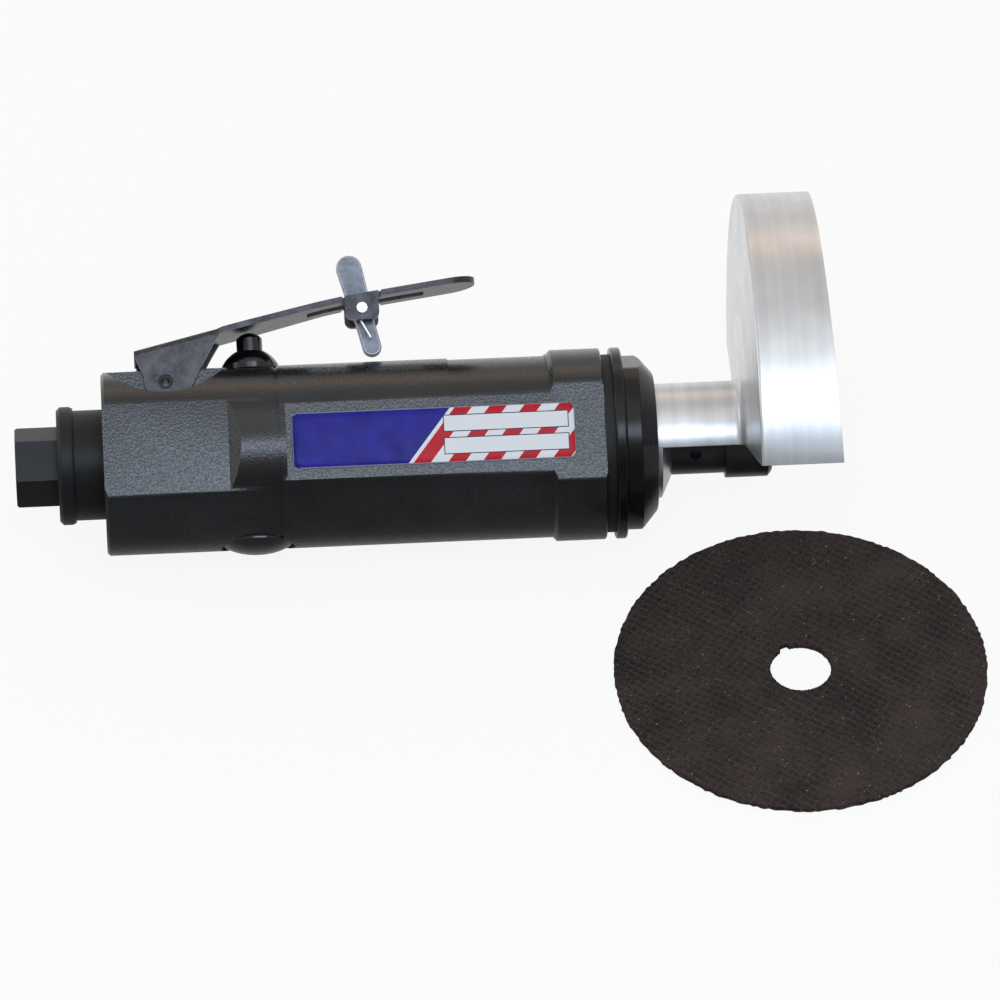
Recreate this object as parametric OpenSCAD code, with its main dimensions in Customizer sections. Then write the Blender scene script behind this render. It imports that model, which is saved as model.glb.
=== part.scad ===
// Pneumatic cut off tool with its loose cutting wheel.
// The tool is drawn with its spindle along X, the wheel seat at X = 0 and the throttle lever towards +Z,
// and is then rolled about X into the way it lies on a bench, on its collar and one end of its guard.

/* [Motor housing] */
// Radius of the round housing
body_r = 25; // [24:0.5:27]
// Length of the solid rear section that holds the valve
rear_len = 54.1; // [50:0.1:60]
// Distance from the axis to the grip flats of the rear section
rear_flat_reach = 21.7; // [20.5:0.1:23]
// Length of the rear flats, up to their ramp
rear_flat_len = 34; // [28:0.5:36]
// Distance from the axis to the long front flats
front_flat_reach = 22.7; // [21.5:0.1:23.5]
// Length of the front flats
front_flat_len = 86.6; // [80:0.1:90]
// Radius of the front collar
collar_r = 26.1; // [25.5:0.1:28]
// Length of the front collar
collar_len = 14.6; // [10:0.1:18]
// Depth of the relief on top, behind the collar
relief_depth = 0.4; // [0.2:0.1:1]
// Length of that relief
relief_len = 26.5; // [10:0.5:40]

/* [Air inlet and exhaust] */
// Width across the flats of the inlet hexagon
inlet_af = 19.05; // [17:0.05:20]
// Length of the inlet hexagon
inlet_hex_len = 11.5; // [9:0.5:16]
// Radius of the tapped hole for the hose fitting
inlet_hole_r = 5.6; // [4.5:0.1:6.2]
// Depth of that hole
inlet_hole_len = 14; // [10:0.5:18]
// Radius of the inlet shank that screws into the housing
inlet_shank_r = 8.5; // [8:0.1:9]
// Radius of the exhaust deflector's sleeve
sleeve_r = 15; // [14.5:0.1:18]
// Length of that sleeve
sleeve_len = 8; // [5:0.5:14]
// Radius of the deflector's lip
lip_r = 16.1; // [15.6:0.1:19]
// Length of the lip
lip_len = 4.5; // [3.5:0.1:7]
// Number of exhaust holes in the lip
exhaust_holes = 10; // [6:1:12]

/* [Throttle valve] */
// Distance from the motor bay back to the valve's axis
valve_gap = 13.1; // [12:0.1:16]
// Radius of the button on the valve stem
button_r = 3.55; // [3:0.05:4]
// Radius of the guide bushing's flange
bushing_r = 7.8; // [7.3:0.1:8.8]
// Height of the guide bushing above the housing
bushing_rise = 4.2; // [3:0.1:4.5]
// Radius of the plug in the underside
plug_r = 10; // [9:0.1:10.5]
// Wire radius of the valve spring
spring_wire_r = 0.5; // [0.4:0.05:0.6]
// Turns of the valve spring
spring_turns = 5; // [3:1:5]

/* [Throttle lever] */
// Distance from the valve's axis back to the lever's pivot
lever_arm = 23.3; // [21:0.1:26]
// Depth of the pivot below the top of the housing
pivot_depth = 4.5; // [4:0.1:5.5]
// Radius of the pivot pin
pin_r = 2; // [1.5:0.1:2.2]
// Width of the boss that the lever straddles
boss_w = 14; // [12:0.5:15]
// Thickness of the lever's strap and ears
sheet = 1.7; // [1.2:0.1:2]
// Height of the lever's top above the pivot
lever_rise = 11; // [10.5:0.1:13]
// Length of the lever behind the pivot
lever_tail = 8.3; // [7:0.1:10]
// Length of the lever ahead of the pivot
lever_reach = 85.6; // [80:0.1:95]
// Distance from the pivot to the bend in the lever
lever_bend = 47; // [42:0.5:50]
// Slope of the lever behind the bend
lever_slope = 13; // [12:0.5:14]
// Slope of the lever ahead of the bend
tip_slope = 7.5; // [6:0.5:9]
// Width of the lever's front half
tip_w = 14; // [13:0.5:16]

/* [Safety lock] */
// Distance from the lever's pivot to the lock's pin
lock_reach = 54.4; // [53:0.1:58]
// Depth of the lock's pin below the lever's top
lock_drop = 4.1; // [3.8:0.1:4.6]
// Radius of the lock's pin
lock_pin_r = 1.3; // [1:0.1:1.4]
// Length of the thumb paddle above the pin
paddle_len = 16.1; // [14:0.1:17]
// Width of the thumb paddle
paddle_w = 7; // [6:0.1:7.4]
// Width of the foot
foot_w = 5.2; // [4.6:0.1:5.6]
// Thickness of the lock
lock_t = 3; // [2.4:0.1:3.4]
// Lean of the lock towards the rear
lock_lean = 13.6; // [12:0.2:15]
// Gap between the foot and the housing
foot_gap = 1.5; // [1.4:0.1:2.2]
// Wire radius of the lock's spring
lock_wire_r = 0.3; // [0.2:0.05:0.35]

/* [Nose] */
// Radius of the step that carries the seal and the clamp ring
step_r = 22; // [20.5:0.1:23]
// Length of the seal between the housing and the clamp ring
seal_len = 2.6; // [1.5:0.1:4]
// Wall of that seal
seal_wall = 2.3; // [1.5:0.1:3]
// Length of the clamp ring
ring_len = 3; // [2:0.1:5]
// Wall of the clamp ring
ring_wall = 4.1; // [3.5:0.1:5]
// Height of the nose cap's rim above the step
cap_wall = 2; // [1:0.1:3]
// Length of the nose cap's round part
cap_len = 4.2; // [3:0.1:6]
// Length of the nose cap's front bevel
bevel_len = 4.5; // [3:0.1:6]
// Drop of that bevel
bevel_drop = 5.3; // [4:0.1:6]
// Depth of the cap's spanner flats
cap_flat_depth = 1.5; // [1:0.1:2.5]

/* [Air motor] */
// Radius of the bay that holds the motor
bay_r = 19.5; // [18.5:0.1:20]
// Length of the motor's cylinder
cylinder_len = 54; // [50:0.5:56]
// Thickness of the motor's end plates
plate_t = 6; // [5.6:0.1:7]
// Radius of the bore that the vanes sweep
sweep_r = 16.4; // [16:0.1:17]
// Distance from the axis to the centre of that bore
sweep_offset = 1.4; // [1:0.1:1.6]
// Number of vanes
vanes = 5; // [4:1:6]
// Thickness of a vane
vane_t = 1.8; // [1.4:0.1:2.4]
// Radius of the rotor's front shaft
shaft_r = 6; // [5:0.1:6.5]

/* [Spindle] */
// Distance from the nose cap's face to the wheel seat
spindle_reach = 31.6; // [30:0.1:36]
// Radius of the spindle
spindle_r = 9.3; // [8.5:0.1:9.6]
// Radius of the inner flange
flange_r = 10.7; // [10:0.1:11.4]
// Length of the inner flange
flange_len = 12.8; // [11:0.1:14]
// Length of the pilot that centres the wheel
pilot_len = 1.4; // [1:0.1:1.6]
// Radius of the tapped hole for the wheel screw
arbor_hole_r = 3.3; // [2.5:0.1:4]
// Depth of that hole
arbor_hole_len = 12; // [8:0.5:12]

/* [Wheel guard] */
// Radius of the guard
guard_r = 66.5; // [64:0.5:70]
// Thickness of the guard
guard_t = 3; // [2.5:0.1:4]
// Distance from the wheel seat back to the guard's wall
wall_back = 8; // [7:0.1:9]
// Distance from the wheel seat to the rim's front edge at the crown
rim_front = 12.8; // [11:0.1:15]
// Lean of the rim's front edge
rim_lean = 2.3; // [0:0.1:4]
// Angle at which the guard starts, from the far side towards the lever
guard_from = 34; // [30:1:40]
// Angle at which the guard ends
guard_to = 197; // [185:1:205]
// Radius of the guard's neck
neck_r = 15.7; // [15:0.1:16.4]
// Thickness of the guard's neck
neck_t = 3.7; // [2.8:0.1:3.8]
// Length of the neck's root inside the nose cap
guard_seat_len = 7.4; // [6:0.1:8]

/* [Cutting wheel] */
// Diameter of the wheel
wheel_d = 101.6; // [95:0.1:105]
// Thickness of the wheel
wheel_t = 1.6; // [1:0.1:3]
// Diameter of the wheel's hole
wheel_hole_d = 16; // [14:0.1:18]
// Distance of the wheel's centre ahead of the wheel seat
wheel_ahead = 4; // [0:1:10]
// Distance of the wheel's centre to the near side of the tool
wheel_aside = 63; // [60:1:70]

/* [Name plate] */
// Distance from the start of the front flats to the plate
label_rear_gap = 1.5; // [1:0.1:10]
// Distance from the plate to the housing's front face
label_front_gap = 8.1; // [4:0.1:16]
// Height of the plate
label_h = 15.6; // [12:0.1:16.5]
// Thickness of the plate
label_t = 0.8; // [0.5:0.1:1]

/* [Fits] */
// Gap around a piece that is seated in another
seat_gap = 0.1; // [0.05:0.05:0.15]
// Gap around a shaft or pin that turns or slides
shaft_gap = 0.05; // [0.02:0.01:0.1]
// Gap between pieces that move past each other
run_gap = 0.3; // [0.2:0.05:0.4]

/* [Hidden] */

// Round surfaces
fine = 96;
small = 48;
// Distance that a cutting shape runs past what it cuts
past = 1;

// Places along the axis, from the wheel seat back
cap_face_x = -spindle_reach;
cap_x = cap_face_x - bevel_len - cap_len;
ring_x = cap_x - ring_len;
front_x = ring_x - seal_len;
shank_len = 16;
shank_x = front_x - shank_len;
front_plate_x = shank_x - plate_t;
cylinder_x = front_plate_x - cylinder_len;
bay_x = cylinder_x - plate_t;
rear_x = bay_x - rear_len;
lip_x = rear_x - sleeve_len - lip_len;
hex_x = lip_x - inlet_hex_len;
valve_x = bay_x - valve_gap;
pivot_x = valve_x - lever_arm;

// Radii of the nose, from its step out
seal_r = step_r + seal_wall;
ring_r = step_r + ring_wall;
cap_r = step_r + cap_wall;
cap_face_r = cap_r - bevel_drop;
cap_flat_reach = cap_r - cap_flat_depth;

// The bench lies against the collar and the outer edge of the guard's far end
lying_r = max(collar_r, ring_r);
lie_roll = 90 + guard_from - acos(lying_r / guard_r);

// Inlet
inlet_shank_len = lip_len + sleeve_len + 14;
passage_r = 4;
screen_t = 1;
screen_r = (inlet_hole_r + passage_r) / 2 + 0.1;

// Exhaust
exhaust_ring_r = 11.2;
exhaust_r = 1.8;
sleeve_wall = 1.7;
lip_wall = 2.5;
lip_hole_r = 0.9;

// Valve, from the bushing down to the plug
spot_z = body_r - 1;
bushing_shank_r = bushing_r - 1.3;
bushing_top_r = button_r + 0.9;
bushing_foot_z = spot_z - 7;
throat_top_z = bushing_foot_z - 2;
throat_r = 3.2;
seat_z = 1;
chamber_r = 5.5;
stem_r = 2;
poppet_r = chamber_r - 1;
poppet_t = 3;
poppet_z = seat_z - run_gap - poppet_t;
plug_seat_z = -body_r + 2.5;
plug_shank_r = plug_r - 3;
plug_top_z = plug_seat_z + 10;
plug_dome = 3.2;
plug_seal_t = 0.8;
button_foot_z = throat_top_z + 4;
button_dome_r = 4.5;

// Lever, in its own frame with the pivot at the origin
pivot_z = body_r - pivot_depth;
ear_gap = run_gap;
lever_w = boss_w + 2 * (ear_gap + sheet);
ear_r = 3.7;
ear_heel = [-2.2, 0.3];
ear_lobe = [4.6, 0.9];
ear_lobe_r = 3.4;
pocket_gap = 1.3;
pocket_r = 20;
pocket_z = pivot_z + ear_heel[1] - ear_r - pocket_gap + pocket_r;
web_end = 16;
bend_run = 7;
taper_from = 22;
taper_to = 46;
slot_w = lock_t + 2 * (run_gap + 2 * lock_wire_r + run_gap);
slot_back = 15;
slot_front = paddle_len + 1;
lock_ear_w = 9.3;
lock_ear_r = 3.2;
lock_ear_t = 1.6;
bend_top = lever_rise + lever_bend * tan(lever_slope);

// Height of the lever's top line above the pivot, at a distance ahead of it
function lever_top(d) = d < lever_bend
    ? lever_rise + d * tan(lever_slope)
    : bend_top + (d - lever_bend) * tan(tip_slope);

// Points of a curve from a to c that leaves and arrives along the lines to b
function curve(a, b, c, steps = 8) = [
    for (i = [0 : steps])
        let (t = i / steps)
        (1 - t) * (1 - t) * a + 2 * t * (1 - t) * b + t * t * c
];

// Points of the lever's top line, lowered by a distance
function top_line(down) = concat(
    [[-lever_tail, lever_top(-lever_tail) - down]],
    curve(
        [lever_bend - bend_run, lever_top(lever_bend - bend_run) - down],
        [lever_bend, bend_top - down],
        [lever_bend + bend_run, lever_top(lever_bend + bend_run) - down]),
    [[lever_reach, lever_top(lever_reach) - down]]);

// The button's dome touches the sloping sheet, so its apex lies a little below it
sheet_z = pivot_z + lever_top(lever_arm) - sheet / cos(lever_slope);
button_top_z = sheet_z + button_dome_r - (button_dome_r + run_gap) / cos(lever_slope);

// Lock, in its own frame with its pin at the origin
lock_pin_z = lever_top(lock_reach) - lock_drop;
foot_len = pivot_z + lock_pin_z - body_r - foot_gap;
hub_r = 3.1;
lock_ear_in = tip_w / 2 - lock_ear_t;
coil_gap = 0.2;
coil_r = lock_pin_r + lock_wire_r + coil_gap;
coil_pitch = 2 * lock_wire_r + 0.5;
coil_turns = 2.25;
coil_end = 180 + lock_lean;
foot_leg = 8;
stub_leg = 1.5;

// Motor
motor_r = bay_r - seat_gap;
rotor_r = sweep_r - sweep_offset - run_gap;
rotor_gap = 0.3;
vane_floor_r = 8.2;
rear_shaft_r = 4;
rear_bearing_r = 8;
rear_bearing_len = 5;
front_bearing_r = 14;
front_bearing_len = 8;
front_bearing_x = shank_x + front_bearing_len;

// Nose and spindle
cap_flat_turn = 22;
spindle_x = cap_face_x + 2.1;
spindle_len = -flange_len - spindle_x;
shaft_end_x = -flange_len - 3.2;
tommy_x = -21;
tommy_r = 1.5;
tommy_depth = 2.5;
tommy_turn = 37;
pilot_r = wheel_hole_d / 2 - shaft_gap * 2;
flange_bevel = [1.6, 1.2];

// Guard
crown = (guard_from + guard_to) / 2;
wall_x = -wall_back;
wall_cone = 1;
guard_seat_x = cap_face_x - guard_seat_len;
root_bore_r = spindle_r + run_gap;
root_r = neck_r - 0.3;
root_face = 1.3;
root_cone = 2.6;
neck_in_r = neck_r - neck_t;
neck_fillet = 3;
rim_corner = 1.2;
rim_spare = 6;

// Name plate
label_corner = 2.7;
label_len = front_flat_len - label_rear_gap - label_front_gap;
label_x = front_x - label_front_gap - label_len / 2;

// Moves a piece from the tool's own frame into the way the tool lies
module lying() {
    rotate([-lie_roll, 0, 0])
        children();
}

// Solid of revolution about X, from points given as radius and place along X
module turned(outline) {
    rotate([0, 90, 0])
        rotate_extrude($fn = fine)
            polygon(outline);
}

// Round bar along X between two places
module bar_x(r, from, to) {
    translate([from, 0, 0])
        rotate([0, 90, 0])
            cylinder(r = r, h = to - from, $fn = fine);
}

// Tube along X between two places
module tube_x(outer_r, inner_r, from, to) {
    difference() {
        bar_x(outer_r, from, to);
        bar_x(inner_r, from - past, to + past);
    }
}

// Round bar across the tool, centred on its mid plane
module bar_y(r, w) {
    rotate([90, 0, 0])
        cylinder(r = r, h = w, center = true, $fn = small);
}

// Side outline drawn in X and Z, given a width across the tool
module across(w) {
    rotate([90, 0, 0])
        linear_extrude(height = w, center = true)
            children();
}

// Piece of the throttle valve, turned about the valve's axis
module valve_turned(outline) {
    translate([valve_x, 0, 0])
        rotate_extrude($fn = small)
            polygon(outline);
}

// One unbroken round wire through rings of points: each ring has a centre and two unit directions
module wire(rings, wire_r, sides) {
    last = len(rings) - 1;
    points = concat(
        [for (ring = rings, k = [0 : sides - 1])
            ring[0] + wire_r * (cos(360 * k / sides) * ring[1] + sin(360 * k / sides) * ring[2])],
        [rings[0][0], rings[last][0]]);
    first_cap = len(points) - 2;
    last_cap = len(points) - 1;
    walls = [for (i = [0 : last - 1], k = [0 : sides - 1])
        let (n = (k + 1) % sides, a = i * sides, b = a + sides)
        each [[a + k, b + k, b + n], [a + k, b + n, a + n]]];
    ends = [for (k = [0 : sides - 1])
        let (n = (k + 1) % sides, b = last * sides)
        each [[first_cap, k, n], [last_cap, b + n, b + k]]];
    polyhedron(points, concat(walls, ends));
}

// Ring of a coil about Z at an angle, with its outward and upward directions
function coil_ring(r, pitch, angle) = [
    [r * cos(angle), r * sin(angle), pitch * angle / 360],
    [cos(angle), sin(angle), 0],
    [0, 0, 1]
];

// The same ring moved along the coil's own direction of travel
function leg_ring(ring, run) = [
    ring[0] + run * [-ring[1][1], ring[1][0], 0],
    ring[1],
    ring[2]
];

// Least distance between wire centres that lie half a turn or more apart along a list of rings
function wire_gap(rings, half_turn, wire_r) = min([
    for (i = [0 : len(rings) - 1], j = [0 : len(rings) - 1])
        if (j - i >= half_turn) norm(rings[i][0] - rings[j][0])
]) - 2 * wire_r;

module housing() {
    edge = 0.8;
    groove_w = 0.8;
    groove_depth = 0.4;
    groove_x = front_x - front_flat_len - 2;
    collar_ramp = collar_r - body_r;
    color("#1b1c1e")
        difference() {
            turned([
                [0, rear_x], [body_r - edge, rear_x], [body_r, rear_x + edge],
                [body_r, groove_x - groove_w / 2], [body_r - groove_depth, groove_x - groove_w / 2],
                [body_r - groove_depth, groove_x + groove_w / 2], [body_r, groove_x + groove_w / 2],
                [body_r, front_x - collar_len], [collar_r, front_x - collar_len + collar_ramp],
                [collar_r, front_x - edge / 2], [collar_r - edge / 2, front_x],
                [bay_r, front_x], [bay_r, bay_x], [0, bay_x]
            ]);
            housing_flats();
            top_relief();
            lever_pockets();
            valve_bores();
            air_ways();
        }
}

// What the flats on both sides take off the housing
module housing_flats() {
    far = body_r + 5;
    ramp = body_r - rear_flat_reach + 0.1;
    for (side = [0, 1])
        mirror([0, side, 0]) {
            translate([0, 0, -far])
                linear_extrude(height = 2 * far)
                    polygon([
                        [rear_x - past, rear_flat_reach], [rear_x + rear_flat_len, rear_flat_reach],
                        [rear_x + rear_flat_len + ramp, rear_flat_reach + ramp],
                        [rear_x + rear_flat_len + ramp, far], [rear_x - past, far]
                    ]);
            translate([front_x - front_flat_len, front_flat_reach, -far])
                cube([front_flat_len + past, far, 2 * far]);
        }
}

// Shallow relief on the lever's side, behind the collar
module top_relief() {
    half_angle = 50;
    ledge = 0.5;
    translate([front_x - collar_len - relief_len - ledge, 0, 0])
        rotate([0, 90, 0])
            rotate([0, 0, 180 - half_angle])
                rotate_extrude(angle = 2 * half_angle, $fn = fine)
                    translate([body_r - relief_depth, 0])
                        square([3, relief_len]);
}

// Arc pockets that the lever's ears swing in, either side of the boss, and the pivot hole
module lever_pockets() {
    depth = body_r;
    for (side = [-1, 1])
        translate([pivot_x, side * (boss_w / 2 + depth / 2), pocket_z])
            bar_y(pocket_r, depth);
    translate([pivot_x, 0, pivot_z])
        bar_y(pin_r + seat_gap / 2, boss_w + 2 * past);
}

// Stepped bore of the throttle valve, from the bushing's seat to the plug's seat
module valve_bores() {
    valve_turned([
        [0, body_r + 5], [bushing_r + seat_gap, body_r + 5], [bushing_r + seat_gap, spot_z],
        [bushing_shank_r + seat_gap, spot_z], [bushing_shank_r + seat_gap, throat_top_z],
        [throat_r, throat_top_z], [throat_r, seat_z], [chamber_r, seat_z],
        [chamber_r, plug_top_z], [plug_shank_r + seat_gap, plug_top_z],
        [plug_shank_r + seat_gap, plug_seat_z], [plug_r + seat_gap, plug_seat_z],
        [plug_r + seat_gap, -body_r - 5], [0, -body_r - 5]
    ]);
}

// Inlet hole, the way from it to the valve, the way on to the motor and the exhaust ways
module air_ways() {
    feed_z = throat_top_z - 5;
    feed_r = 2.5;
    bar_x(inlet_shank_r + seat_gap, rear_x - past, lip_x + inlet_shank_len);
    bar_x(passage_r, rear_x, valve_x + throat_r / 2);
    translate([0, 0, feed_z])
        bar_x(feed_r, valve_x, bay_x + past);
    for (turn = [45 : 90 : 315])
        rotate([turn, 0, 0])
            translate([0, exhaust_ring_r, 0])
                bar_x(exhaust_r, rear_x - past, bay_x + past);
}

module inlet_bushing() {
    edge = 0.6;
    corner_r = inlet_af / sqrt(3);
    color("#2a2a2c")
        difference() {
            union() {
                intersection() {
                    translate([hex_x, 0, 0])
                        rotate([0, 90, 0])
                            cylinder(r = corner_r, h = inlet_hex_len, $fn = 6);
                    turned([
                        [0, hex_x], [corner_r - edge, hex_x], [corner_r, hex_x + edge],
                        [corner_r, lip_x], [0, lip_x]
                    ]);
                }
                bar_x(inlet_shank_r, lip_x, lip_x + inlet_shank_len);
            }
            bar_x(inlet_hole_r, hex_x - past, hex_x + inlet_hole_len);
            bar_x(screen_r + seat_gap, hex_x, hex_x + inlet_hole_len + screen_t);
            bar_x(passage_r, hex_x, lip_x + inlet_shank_len + past);
        }
}

module inlet_screen() {
    mesh_r = 0.6;
    mesh_step = 2.2;
    x = hex_x + inlet_hole_len;
    color("#b8b29a")
        difference() {
            bar_x(screen_r, x, x + screen_t);
            for (turn = [0 : 60 : 300])
                rotate([turn, 0, 0])
                    translate([0, mesh_step, 0])
                        bar_x(mesh_r, x - past, x + screen_t + past);
            bar_x(mesh_r, x - past, x + screen_t + past);
        }
}

module exhaust_deflector() {
    edge = 1;
    inner_r = sleeve_r - sleeve_wall;
    lip_front_x = lip_x + lip_len;
    hole_ring_r = (inner_r + inlet_af / sqrt(3)) / 2;
    color("#202123")
        difference() {
            turned([
                [inlet_shank_r + seat_gap, lip_x], [lip_r - edge, lip_x], [lip_r, lip_x + edge],
                [lip_r, lip_front_x - edge], [lip_r - edge / 2, lip_front_x], [sleeve_r, lip_front_x],
                [sleeve_r, rear_x], [inner_r, rear_x], [inner_r, lip_x + lip_wall],
                [inlet_shank_r + seat_gap, lip_x + lip_wall]
            ]);
            for (i = [0 : exhaust_holes - 1])
                rotate([i * 360 / exhaust_holes, 0, 0])
                    translate([0, hole_ring_r, 0])
                        bar_x(lip_hole_r, lip_x - past, lip_x + lip_wall + past);
        }
}

module valve_bushing() {
    top_z = body_r + bushing_rise;
    skirt_z = body_r + 0.5;
    cone = [(bushing_r + bushing_top_r) / 2 + 0.6, (skirt_z + top_z) / 2 + 0.4];
    bore_r = button_r + shaft_gap;
    color("#141415")
        valve_turned(concat(
            [[bore_r, bushing_foot_z], [bushing_shank_r, bushing_foot_z], [bushing_shank_r, spot_z],
                [bushing_r, spot_z]],
            curve([bushing_r, skirt_z], cone, [bushing_top_r, top_z]),
            [[bore_r, top_z]]));
}

module stem_seal() {
    seal_wire_r = 0.9;
    color("#0d0d0d")
        translate([valve_x, 0, throat_top_z + seal_wire_r + seat_gap])
            rotate_extrude($fn = small)
                translate([button_r + seat_gap + seal_wire_r, 0])
                    circle(r = seal_wire_r, $fn = small);
}

module valve_stem() {
    dome_z = button_top_z - button_dome_r;
    rim_angle = acos(button_r / button_dome_r);
    spigot_r = stem_r;
    spigot_len = 3;
    color("#161617")
        valve_turned(concat(
            [[0, poppet_z - spigot_len], [spigot_r, poppet_z - spigot_len], [spigot_r, poppet_z],
                [poppet_r, poppet_z], [poppet_r, poppet_z + poppet_t], [stem_r, poppet_z + poppet_t],
                [stem_r, button_foot_z], [button_r, button_foot_z]],
            [for (i = [0 : 6])
                let (a = rim_angle + (90 - rim_angle) * i / 6)
                [button_dome_r * cos(a), dome_z + button_dome_r * sin(a)]]));
}

module valve_spring() {
    mean_r = poppet_r - spring_wire_r;
    low_z = plug_top_z + seat_gap + spring_wire_r;
    high_z = poppet_z - seat_gap - spring_wire_r;
    pitch = (high_z - low_z) / spring_turns;
    steps = 8;
    rings = [for (i = [0 : spring_turns * steps]) coil_ring(mean_r, pitch, 360 * i / steps)];
    echo(valve_spring_gap = wire_gap(rings, steps / 2, spring_wire_r));
    color("#9a9c9e")
        translate([valve_x, 0, low_z])
            wire(rings, spring_wire_r, 6);
}

module valve_plug() {
    rim_z = plug_seat_z - plug_seal_t;
    color("#161617")
        valve_turned(concat(
            [[0, plug_top_z], [plug_shank_r, plug_top_z], [plug_shank_r, rim_z], [plug_r, rim_z],
                [plug_r, rim_z - 0.4]],
            curve([plug_r, rim_z - 0.4], [plug_r * 0.6, rim_z - plug_dome], [0, rim_z - plug_dome])));
}

module plug_seal() {
    color("#0d0d0d")
        valve_turned([
            [plug_shank_r + seat_gap, plug_seat_z - plug_seal_t], [plug_r, plug_seat_z - plug_seal_t],
            [plug_r, plug_seat_z], [plug_shank_r + seat_gap, plug_seat_z]
        ]);
}

module lever_pin() {
    short = 0.3;
    color("#2b2b2d")
        translate([pivot_x, 0, pivot_z])
            difference() {
                bar_y(pin_r, lever_w - 2 * short);
                bar_y(pin_r * 0.6, lever_w + past);
            }
}

// Outline of the lever from above
module lever_plan() {
    rear_w = lever_w / 2;
    front_w = tip_w / 2;
    nose_x = lever_reach - tip_w / 2;
    union() {
        polygon([
            [-lever_tail - past, -rear_w], [taper_from, -rear_w], [taper_to, -front_w],
            [nose_x, -front_w], [nose_x, front_w], [taper_to, front_w], [taper_from, rear_w],
            [-lever_tail - past, rear_w]
        ]);
        translate([nose_x, 0])
            circle(r = front_w, $fn = small);
    }
}

// Outline of one of the lever's ears from the side
module lever_ear() {
    top = lever_top(web_end) - sheet / 2;
    union() {
        translate(ear_heel)
            circle(r = ear_r, $fn = small);
        translate(ear_lobe)
            circle(r = ear_lobe_r, $fn = small);
        polygon(concat(
            [[-lever_tail, lever_top(-lever_tail) - sheet / 2], ear_heel + ear_r * [-0.96, 0.26],
                ear_heel + ear_r * [0.13, -0.98], ear_lobe + ear_lobe_r * [-0.13, -0.98]],
            curve(ear_lobe + ear_lobe_r * [0.89, -0.43], [12.8, 9.6], [web_end, top])));
    }
}

// Solid between the lever's top line and its underside
module lever_slab() {
    low = top_line(sheet);
    across(2 * lever_w)
        polygon(concat(
            top_line(0),
            [for (i = [len(low) - 1 : -1 : 0]) low[i]]));
}

module throttle_lever() {
    tall = 100;
    ear_span = lever_w - 2 * sheet;
    color("#5a5b5e")
        translate([pivot_x, 0, pivot_z])
            difference() {
                union() {
                    intersection() {
                        lever_slab();
                        linear_extrude(height = tall) lever_plan();
                    }
                    difference() {
                        across(lever_w) lever_ear();
                        across(ear_span) square(2 * tall, center = true);
                    }
                    lock_ears();
                }
                bar_y(pin_r + shaft_gap, lever_w + past);
                translate([lock_reach, 0, lock_pin_z])
                    bar_y(lock_pin_r + seat_gap / 2, tip_w + past);
                lock_ear_reliefs();
                lever_slot(tall);
            }
}

// Two tabs that hang from the lever's edges and carry the lock's pin
module lock_ears() {
    top = lever_top(lock_reach) - sheet / 2;
    half_w = lock_ear_w / 2;
    corner_r = 2;
    low = lock_pin_z - lock_ear_r;
    difference() {
        across(tip_w)
            union() {
                for (side = [-1, 1])
                    translate([lock_reach + side * (half_w - corner_r), low + corner_r])
                        circle(r = corner_r, $fn = small);
                polygon([
                    [lock_reach - half_w, top - half_w * tan(tip_slope)],
                    [lock_reach - half_w, low + corner_r],
                    [lock_reach - half_w + corner_r, low],
                    [lock_reach + half_w - corner_r, low],
                    [lock_reach + half_w, low + corner_r],
                    [lock_reach + half_w, top]
                ]);
            }
        across(2 * lock_ear_in) square(400, center = true);
    }
}

// Relief cuts beside the tabs, where they are bent out of the lever's edges
module lock_ear_reliefs() {
    relief_w = 0.7;
    for (side = [-1, 1])
        let (d = lock_reach + side * (lock_ear_w + relief_w) / 2)
        translate([d, 0, lever_top(d) - sheet / 2])
            difference() {
                cube([relief_w, tip_w + past, 3 * sheet], center = true);
                cube([relief_w + past, 2 * lock_ear_in - past, 3 * sheet + past], center = true);
            }
}

// Slot in the lever's top that the lock swings through
module lever_slot(tall) {
    translate([lock_reach - slot_back, -slot_w / 2, 0])
        cube([slot_back + slot_front, slot_w, tall]);
}

module lock_pin() {
    head_r = lock_pin_r + 0.25;
    head_t = 0.4;
    color("#e4e4e2")
        translate([pivot_x + lock_reach, 0, pivot_z + lock_pin_z])
            union() {
                bar_y(lock_pin_r, tip_w);
                for (side = [-1, 1])
                    translate([0, side * (tip_w + head_t) / 2, 0])
                        bar_y(head_r, head_t);
            }
}

// Puts the lock's pieces at its pin, leaning to the rear
module at_lock() {
    translate([pivot_x + lock_reach, 0, pivot_z + lock_pin_z])
        rotate([0, -lock_lean, 0])
            children();
}

module lock_lever() {
    paddle_r = paddle_w / 2;
    foot_r = foot_w / 2;
    waist = 2.5;
    color("#9fa3a8")
        at_lock()
            difference() {
                across(lock_t)
                    union() {
                        circle(r = hub_r, $fn = small);
                        translate([0, paddle_len - paddle_r])
                            circle(r = paddle_r, $fn = small);
                        translate([0, foot_r - foot_len])
                            circle(r = foot_r, $fn = small);
                        polygon([
                            [-paddle_r, paddle_len - paddle_r], [-hub_r, waist], [-foot_r, -waist],
                            [-foot_r, foot_r - foot_len], [foot_r, foot_r - foot_len], [foot_r, -waist],
                            [hub_r, waist], [paddle_r, paddle_len - paddle_r]
                        ]);
                    }
                bar_y(lock_pin_r + shaft_gap, lock_t + past);
            }
}

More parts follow.
